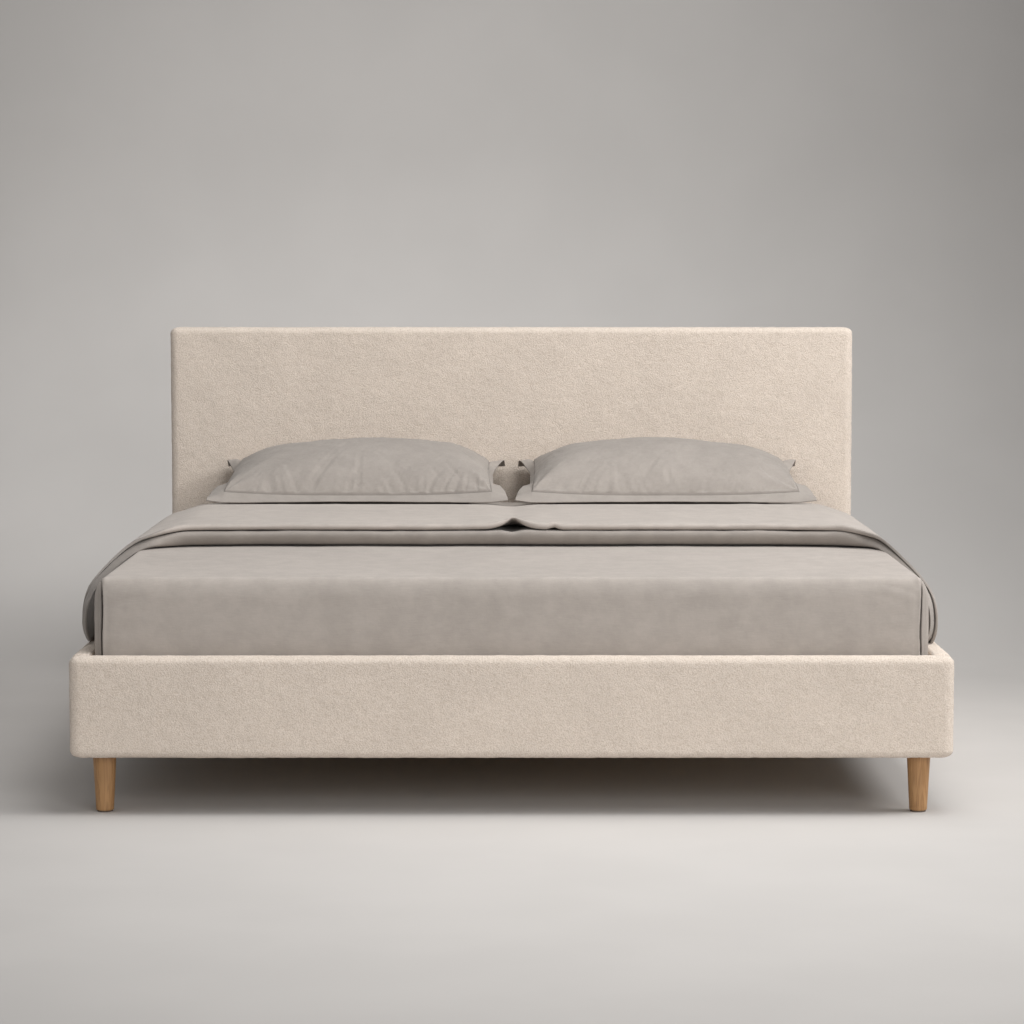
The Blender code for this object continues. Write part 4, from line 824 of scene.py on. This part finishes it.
def cover():
    """The cover from its lengthwise loops, set side by side across the bed."""
    section, section_normal, arc = cover_section(0.0095)
    last = len(section) - 1
    stations = []
    for side, order in ((-1, range(last, 0, -1)), (1, range(last + 1))):
        for i in order:
            across, z = section[i]
            nx, nz = section_normal[i]
            tip = unit((arc[-1] - arc[i]) / HEM_STEPS[0])
            hem = 0.12 + 0.88 * sqrt(1 - (1 - tip) ** 2)
            loop = cover_loop(side * across, across, arc[i], hem)
            stations.append([(side * (across + nx * up), y, z + nz * up) for y, up in loop])
    stations = np.array(stations)
    stations[..., 0] -= DRAPE_SHIFT * smoothstep((abs(stations[..., 0]) - 0.86) / 0.06)
    rows, count = stations.shape[:2]
    faces = []
    for r, k in np.ndindex(rows - 1, count):
        j = (k + 1) % count
        faces.append((r * count + k, r * count + j, (r + 1) * count + j, (r + 1) * count + k))
    faces += [range(count), range((rows - 1) * count, rows * count)]
    mesh = to_mesh("cover", stations.reshape(-1, 3), faces, weld=False)
    obj = piece("turned_back_quilt", mesh, COVER_COTTON, "cover", ["turned_back_cover"], "taupe_cotton")
    at = np.arange(len(mesh.vertices)) % count
    # painted shade: the lower layer and the underside darker, standing in for the shade under the upper layer
    lower_layer_and_underside = (at <= LOWER_TOP_END) | (at >= UNDERSIDE_START)
    front_edges = (at <= LOWER_EDGE_END + 1) | ((at >= UPPER_EDGE_START - 1) & (at <= UPPER_EDGE_END + 1))
    contact = unit(1 - np.minimum(at / CONTACT_FRONT, (count - at) / CONTACT_BEHIND))
    co, no = coords(obj), normals(obj)
    x, y, z = co.T
    # painted shade on the drapes' front edges and a painted shadow on the line against the sheet, less on faces turned
    # outward
    on_drape = smoothstep((abs(x) - 0.8) / 0.09)
    drape_shade = np.where(x < 0, DRAPE_EDGE_SHADE[-1], DRAPE_EDGE_SHADE[1]) * on_drape * front_edges
    drape_shade = np.maximum(drape_shade, CONTACT_SHADOW * on_drape * contact)
    drape_shade *= 1 - 0.45 * smoothstep((no[:, 0] * np.sign(x) - 0.55) / 0.35)
    paint_shade(obj, np.maximum(LOWER_LAYER_SHADE * lower_layer_and_underside.astype(float), drape_shade))
    above = unit((no[:, 2] - 0.1) * 2) * (z > COVER_BOTTOM + 0.03)
    outside = unit(abs(no[:, 0]) * 1.4) * (abs(x) > 0.93)
    back = unit((y - UPPER_EDGE_Y) / 0.35)
    open_top = above * (1 - smoothstep((y - 0.34) / 0.07) * (abs(x) < 0.8))
    off = open_top * layered(co, 71, (0.0022, (0.2, 0.16, 1.0)), (0.0014, (0.075, 0.1, 1.0)))
    off += open_top * 0.0008 * noise(co, (0.03, 0.045, 1.0), 73)
    # a shallow valley from the notch back to the gap between the pillows
    valley = bump_at(x, 0.004 * np.sin(y * 14), 0.016 + 0.03 * back) * unit(1 - 0.35 * back)
    off -= above * 0.006 * valley * unit((y - UPPER_EDGE_Y + 0.02) / 0.05)
    off += above * 0.0022 * bump_at(x, 0.04, 0.022) * (1 - back)
    # soft folds fanning over each shoulder, and down the drape
    fan = noise(columns(y + 0.25 * (abs(x) - 0.75), x * 0.25, z * 0.4), (0.055, 0.2, 0.12), 74)
    off += (0.003 * outside + above * 0.0012 * unit((abs(x) - 0.62) / 0.2)) * fan
    # the layers' edges waver a little
    waver = layered(columns(x, 0, 0), 75, (0.0035, (0.11, 1.0, 1.0)), (0.0014, (0.035, 1.0, 1.0)))
    near_edge = bump_at(y, UPPER_EDGE_Y, 0.05)
    co = co + no * off[:, None]
    co[:, 1] += waver * (no[:, 1] < 0.2) * near_edge
    co = co + no * (0.0003 * noise(co, 0.014, 77))[:, None]
    set_coords(obj, co)


# ---- pillows

P_WIDTH, P_DEPTH, FLANGE, FLANGE_T = 0.795, 0.56, 0.042, 0.0024
PILLOW_GAP, PILLOW_BACK_GAP = 0.02, 0.008
RISE, SAG, TILT = 0.112, 0.09, radians(6.0)
END_LIFT, BACK_DRAW, END_DRAW, SIDE_DRAW = 0.042, 0.008, 0.012, 0.022
END_HANG, FRONT_SEAM_LIFT, FRONT_FLANGE_DROP, CROWN_SHIFT = 0.034, 0.0055, 0.0045, 0.07
GATHER, TUCK, DRAWN_CREASE, CORNER_FOLD = 0.003, 0.0052, 0.0042, 0.0046
# painted shade along the seam, where the filled body overhangs the stitched flange
SEAM_SHADE = 0.45
CLOTH_FRAMES, CLOTH_GROWTH, CLOTH_HOLD, CLOTH_LIMIT = 20, 0.045, 0.55, 0.01
SEAM = np.array([1 - 2 * FLANGE / P_WIDTH, 1 - 2 * FLANGE / P_DEPTH])
PILLOW_Y = HEAD_LOW[1] - PILLOW_BACK_GAP - P_DEPTH / 2 * cos(TILT)
PILLOW_Z = COVER_TOP + 0.0003 + FLANGE_T / 2 * cos(TILT) + P_DEPTH / 2 * sin(TILT)
PILLOW_REST = COVER_TOP + 0.0003 - COVER_SLOPE * (PILLOW_Y - TAPER_Y) - PILLOW_Z


def pillow_height(u, v):
    across = unit(1 - abs(u) ** 2.2)
    along = unit(1 - abs(v) ** 2.2)
    return (across * along) ** 0.75


def pillow_lines(count, seam, half):
    """Grid lines from -1 to 1, close together where the flange is stitched down."""
    even = [2 * i / count - 1 for i in range(count + 1)]
    inner = [seam * (0.55 * sin(pi / 2 * e) + 0.45 * e) for e in even]
    near = [seam + d / half for d in (-0.0022, -0.001, 0.0006, 0.0012, 0.0018, 0.0025, 0.0036, 0.006)]
    flange = [seam + (1 - seam) * t for t in (0.25, 0.38, 0.52, 0.68, 0.84, 0.95, 1.0)]
    return np.array(sorted({*inner, *near, *flange, *[-o for o in near + flange]}))


def creases(points, size, seed, width=0.16):
    """Thin sharp lines, 0 to 1, where smooth noise changes sign."""
    return np.exp(-((noise(points, size, seed) / width) ** 2))


def pillow_points(u, v, side, share, wrinkle, seed, outer):
    """The pillow's surface in its own tilted frame, its flange stitched down round a full middle."""
    out, back = abs(u), abs(v)
    past_end = unit((out - SEAM[0]) / (1 - SEAM[0]))
    tipped = smoothstep((back - 0.3) / 0.55)
    body = np.minimum(out, SEAM[0])
    reach = body * (P_WIDTH / 2 - END_DRAW * (1 - v * v) * out) + FLANGE * past_end * (0.3 + 0.7 * tipped)
    x = np.sign(u) * reach - u * BACK_DRAW * unit(v)
    y = v * (P_DEPTH / 2 - SIDE_DRAW * (1 - u * u) * back)
    inside = (out < SEAM[0]) & (back < SEAM[1])
    fuller = u / SEAM[0] + CROWN_SHIFT * outer * (1 - (u / SEAM[0]) ** 2)
    full = np.where(inside, pillow_height(fuller, v / SEAM[1]), 0.0)
    rise = RISE if side > 0 else SAG
    to_end, to_side = (SEAM[0] - out) * P_WIDTH / 2, (SEAM[1] - back) * P_DEPTH / 2
    to_seam = np.minimum(to_end, to_side)
    hip = 1 - (1 - unit(np.minimum(to_end / 0.15, to_side / 0.19))) ** 2.3
    full = np.where(inside, full * 0.7 + hip * 0.3, 0.0)
    lift = END_LIFT * abs(u * share) ** 3 * (1 - (v * share) ** 4)
    flat_front = smoothstep((-v - 0.2) / 0.45) * (1 - smoothstep((-v - 0.82) / 0.18))
    lift -= END_HANG * past_end * np.maximum(1 - tipped, 0.5 * flat_front)
    tip_curl = np.where(u > 0, 0.2 if outer < 0 else 0.6, 1.0)
    lift += 0.008 * bump_at(out, 0.93, 0.05) * bump_at(v, 0.75, 0.18) * tip_curl
    past_front = unit((-v - SEAM[1]) / (1 - SEAM[1]))
    lift += FRONT_SEAM_LIFT * smoothstep((-v - 0.4) / 0.4) * (1 - past_front ** 1.3) * (1 - out ** 8)
    lift -= FRONT_FLANGE_DROP * past_front * (1 - out ** 10)
    stitch = np.exp(-(((to_seam + 0.0012) / 0.0012) ** 2))
    step = 0.003 * smoothstep(to_seam / 0.0018) * inside
    z = side * share * (FLANGE_T / 2 * (1 - 0.7 * stitch) + step + rise * full)
    if wrinkle:
        middle = side * inside
        flat = columns(x, y, 0)
        run = np.where(to_end < to_side, y, x)
        slant = run + 0.55 * to_seam * np.sin(run * 23.0 + seed)
        near = np.exp(-(unit(to_seam) / 0.04) ** 1.3) * unit(to_seam / 0.004)
        gather = noise(columns(slant, to_seam * 0.2, 0), (0.017, 0.03, 1.0), seed)
        tuck = creases(columns(slant, to_seam * 0.3, 0), (0.03, 0.04, 1.0), seed + 5, 0.2)
        patch = smoothstep(noise(flat, (0.11, 0.2, 1.0), seed + 6) * 1.2 + 0.55)
        z += middle * near * patch * (GATHER * gather - TUCK * tuck)
        drawn = creases(columns(x + 0.6 * y * np.sign(u), y * 0.45, 0), (0.06, 0.075, 1.0), seed + 7, 0.12)
        spread = np.exp(-(unit(to_seam - 0.02) / 0.085) ** 2) * unit(to_seam / 0.012)
        patch = smoothstep(noise(flat, (0.13, 0.13, 1.0), seed + 8) * 1.4 + 0.4)
        z -= middle * DRAWN_CREASE * drawn * spread * patch
        # folds running in from each corner
        in_x, in_y = SEAM[0] * P_WIDTH / 2 - abs(x), SEAM[1] * P_DEPTH / 2 - abs(y)
        corner = np.hypot(in_x, in_y)
        fan = np.sin(np.arctan2(in_y, in_x + 1e-6) * 9.0 + np.sign(u) * 1.3 + np.sign(v) * 0.7 + seed)
        fading = np.exp(-(corner / 0.085) ** 1.5)
        z += middle * CORNER_FOLD * fan * fading * unit(corner / 0.03) * unit(to_seam / 0.01)
        soft = layered(flat, seed + 1, (0.0036, (0.15, 0.11, 1.0)), (0.0014, (0.05, 0.05, 1.0)))
        z += middle * soft * unit(to_seam / 0.04)
        at_front = smoothstep((-v - 0.8) / 0.12)
        ripple = layered(flat, seed + 3, (1.0, (0.075, 0.075, 1.0)), (0.4, (0.03, 0.03, 1.0)))
        lift += 0.0022 * ripple * unit(-to_seam / 0.03) * (1 - 0.75 * at_front)
        lift += 0.003 * at_front * smoothstep((out - 0.88) / 0.12)
    return share * x, share * y, z + lift


def rest_floor(y):
    """The height, in the pillow's tilted frame, of the cover that it rests on."""
    lean = sin(TILT) + COVER_SLOPE * cos(TILT)
    return (PILLOW_REST - y * lean) / (cos(TILT) - COVER_SLOPE * sin(TILT))


def grid_pair(us, vs, make):
    """A closed mesh from a top grid and an underside grid over the same lines, joined round the outline."""
    gu, gv = crossed(us, vs)
    n, size = len(vs), gu.size
    faces = []
    for a, b, c, d in grid_faces(len(us), n):
        faces += [(a, d, c, b), (size + a, size + b, size + c, size + d)]
    at = np.arange(size).reshape(-1, n)
    ring = np.concatenate([at[:, 0], at[-1, 1:], at[-2::-1, -1], at[0, -2:0:-1]]).tolist()
    for a, b in zip(ring, ring[1:] + ring[:1]):
        faces.append((b, a, size + a, size + b))
    return np.concatenate([make(gu, gv, 1), make(gu, gv, -1)]), faces


FABRIC = {
    "quality": 5, "mass": 0.15, "tension_stiffness": 20.0, "compression_stiffness": 20.0, "shear_stiffness": 8.0,
    "bending_stiffness": 0.08, "air_damping": 3.0, "vertex_group_mass": "held", "pin_stiffness": 2.0,
    "shrink_min": -CLOTH_GROWTH, "use_pressure": True, "uniform_pressure_force": 4.0,
}


def gathered(obj, free):
    """Runs the pillow's top as cloth cut a little larger than its seam and filled from inside, and keeps its folds."""
    scene = bpy.context.scene
    before = coords(obj)
    held = obj.vertex_groups.new(name="held")
    for which, weight in ((~free, 1.0), (free, CLOTH_HOLD)):
        held.add([int(i) for i in np.flatnonzero(which)], weight, "REPLACE")
    cloth = obj.modifiers.new("cloth", "CLOTH")
    for key, value in FABRIC.items():
        setattr(cloth.settings, key, value)
    cloth.settings.effector_weights.gravity = 0.0
    cloth.collision_settings.use_collision = False
    cloth.point_cache.frame_start, cloth.point_cache.frame_end = 1, CLOTH_FRAMES
    for at in range(1, CLOTH_FRAMES + 1):
        scene.frame_set(at)
    made = np.empty(len(before) * 3)
    obj.evaluated_get(bpy.context.evaluated_depsgraph_get()).data.vertices.foreach_get("co", made)
    obj.modifiers.clear()
    scene.frame_set(1)
    moved = made.reshape(-1, 3) - before
    length = np.linalg.norm(moved, axis=1)
    moved *= (np.minimum(length, CLOTH_LIMIT) / np.maximum(length, 1e-9))[:, None]
    set_coords(obj, before + moved)


def pillow(name, side, seed):
    centre = (side * (P_WIDTH + PILLOW_GAP) / 2, PILLOW_Y, PILLOW_Z)

    def placed(x, y, z):
        c, s = cos(TILT), sin(TILT)
        return columns(x + centre[0], y * c - z * s + centre[1], y * s + z * c + centre[2])

    def case(u, v, face):
        x, y, z = pillow_points(u, v, face, 1.0, True, seed, side)
        floor = rest_floor(y)
        return placed(x, y, np.maximum(z, floor if face < 0 else floor + FLANGE_T * 0.8))

    def insert(u, v, face):
        x, y, z = pillow_points(u * SEAM[0] * 0.99, v * SEAM[1] * 0.99, face, 0.945, False, seed, side)
        plump = 0.0016 * noise(columns(x, y, z), 0.06, seed + 9)
        return placed(x, y, np.maximum(z + plump * (u * u < 0.9) * (v * v < 0.9), rest_floor(y) + 0.004))

    us = pillow_lines(120, SEAM[0], P_WIDTH / 2)
    vs = pillow_lines(84, SEAM[1], P_DEPTH / 2)
    obj = formed(f"pillowcase_cloth_{name}", *grid_pair(us, vs, case), SHADED_PILLOW_COTTON, f"pillow_{name}",
                 [f"pillowcase_{name}"], "taupe_cotton")
    gu, gv = crossed(us, vs)
    to_seam = np.minimum((SEAM[0] - abs(gu)) * P_WIDTH, (SEAM[1] - abs(gv)) * P_DEPTH) / 2
    # painted shade along the stitched seam
    seam_shade = SEAM_SHADE * np.exp(-(((to_seam + 0.001) / 0.0015) ** 2))
    paint_shade(obj, np.concatenate([seam_shade, seam_shade]))
    gathered(obj, np.concatenate([(to_seam > 0.0015), np.zeros(len(gu), bool)]))
    line = np.sin(np.linspace(-pi / 2, pi / 2, 49))
    inner = formed(f"pillow_filling_{name}", *grid_pair(line, line, insert), TICKING, f"pillow_{name}",
                   [f"pillow_insert_{name}"], "ticking")


headboard()
foot_rail()
side_rail("left", -1)
side_rail("right", 1)
back_cloth()
slat_straps()
mattress()
fitted_sheet()
cover()
pillow("left", -1, 81)
pillow("right", 1, 91)

# ---- stage, light and camera

# painted light: the stage's colour is brightest round a place near the bed and fades darker away from it
STAGE_COLOUR = (0.612, 0.586, 0.562)
STAGE_BRIGHT_X, STAGE_FADE_X = -0.85, 2.95
STAGE_BRIGHT_ALONG, STAGE_FADE_ALONG = 0.9, 5.3
# beyond these the stage keeps one tone
STAGE_TONED_X, STAGE_TONED_ALONG = (-2.2, 2.0), (-3.2, 5.3)
STAGE_FRONT, STAGE_BEND_Y, STAGE_RADIUS, STAGE_TOP, STAGE_SIDE = -9.0, 1.15, 1.6, 8.0, 9
WORLD_STRENGTH = 0.385
# each lamp's place, aim, size and power
LAMPS = {
    "key": ((1.2, -2.0, 5.0), (0.0, 0.0, 0.3), (2.6, 2.6), 108.0),
    "overhead": ((0.6, 0.2, 4.8), (0.0, 0.0, 0.3), (3.0, 3.0), 30.0),
    "window": ((4.0, -1.2, 3.6), (0.0, 0.2, 0.5), (2.0, 2.0), 138.0),
    "fill": ((2.0, -6.4, 2.2), (0.0, 0.0, 0.5), (4.0, 2.4), 118.0),
}
CAMERA_PLACE, CAMERA_TILT, CAMERA_LENS, CAMERA_SHIFT = (0.0, -7.7312, 1.1858), radians(85.5), 109.06, 0.0004


def stage_sweep():
    """A pale floor that curves up into a pale wall behind the bed, painted with a pool of light that fades darker to
    its sides, its front and up the wall.
    """
    bend = [(STAGE_BEND_Y + STAGE_RADIUS * sin(a), STAGE_RADIUS * (1 - cos(a))) for a in np.linspace(0, pi / 2, 24)[1:]]
    profile = [(STAGE_FRONT, 0.0)] + [(y, 0.0) for y in np.linspace(-7.5, STAGE_BEND_Y, 24)] + bend
    profile += [(STAGE_BEND_Y + STAGE_RADIUS, z) for z in np.linspace(STAGE_RADIUS, STAGE_TOP, 8)[1:]]
    # from right to left, so that the faces look up and to the front
    xs = np.linspace(STAGE_SIDE, -STAGE_SIDE, 19)
    mesh = bpy.data.meshes.new("stage")
    mesh.from_pydata([(x, y, z) for x in xs for y, z in profile], [], grid_faces(len(xs), len(profile)))
    smooth(mesh)
    obj = bpy.data.objects.new("stage", mesh)
    bpy.context.scene.collection.objects.link(obj)
    n = Nodes("stage")
    split = n.node("SeparateXYZ", (n.place,)).node
    along = n.kept(n.math("ADD", split.outputs[1], split.outputs[2]), *STAGE_TONED_ALONG)
    bright_x = n.span(along, -0.5, 3.2, 0.0, STAGE_BRIGHT_X)
    from_middle = n.math("DIVIDE", n.math("SUBTRACT", n.kept(split.outputs[0], *STAGE_TONED_X), bright_x), STAGE_FADE_X)
    from_bed = n.math("DIVIDE", n.math("SUBTRACT", along, STAGE_BRIGHT_ALONG), STAGE_FADE_ALONG)
    away = n.math("MULTIPLY_ADD", from_middle, from_middle, n.math("POWER", n.math("ABSOLUTE", from_bed), 4.0))
    # the painted pool of light, darker away from its middle
    fade = n.math("EXPONENT", n.math("MULTIPLY", away, -1.0))
    tint = n.math("MULTIPLY", fade, n.varied(n.cloud(3.0), 0.015))
    mesh.materials.append(n.finish(STAGE_COLOUR, tint, 0.9, n.bump(n.cloud(500.0), 0.05, 0.0005), 0.1))
    n.one_sided()


def light_and_camera():
    scene = bpy.context.scene
    scene.world = bpy.data.worlds.new("studio")
    scene.world.use_nodes = True
    background = scene.world.node_tree.nodes["Background"]
    background.inputs[0].default_value = (1.0, 1.0, 1.0, 1.0)
    background.inputs[1].default_value = WORLD_STRENGTH
    for name, (place, aim, size, power) in LAMPS.items():
        lamp = bpy.data.lights.new(name, "AREA")
        lamp.shape = "RECTANGLE"
        lamp.size, lamp.size_y = size
        lamp.energy = power
        obj = bpy.data.objects.new(name, lamp)
        obj.location = place
        obj.rotation_euler = (Vector(aim) - Vector(place)).to_track_quat("-Z", "Y").to_euler()
        scene.collection.objects.link(obj)
    lens = bpy.data.cameras.new("camera")
    lens.sensor_width = 36.0
    lens.lens = CAMERA_LENS
    lens.shift_x = CAMERA_SHIFT
    camera = bpy.data.objects.new("camera", lens)
    camera.location = CAMERA_PLACE
    camera.rotation_euler = (CAMERA_TILT, 0.0, 0.0)
    scene.collection.objects.link(camera)
    scene.camera = camera
    scene.view_settings.view_transform = "Standard"


stage_sweep()
light_and_camera()

bpy.context.view_layer.update()
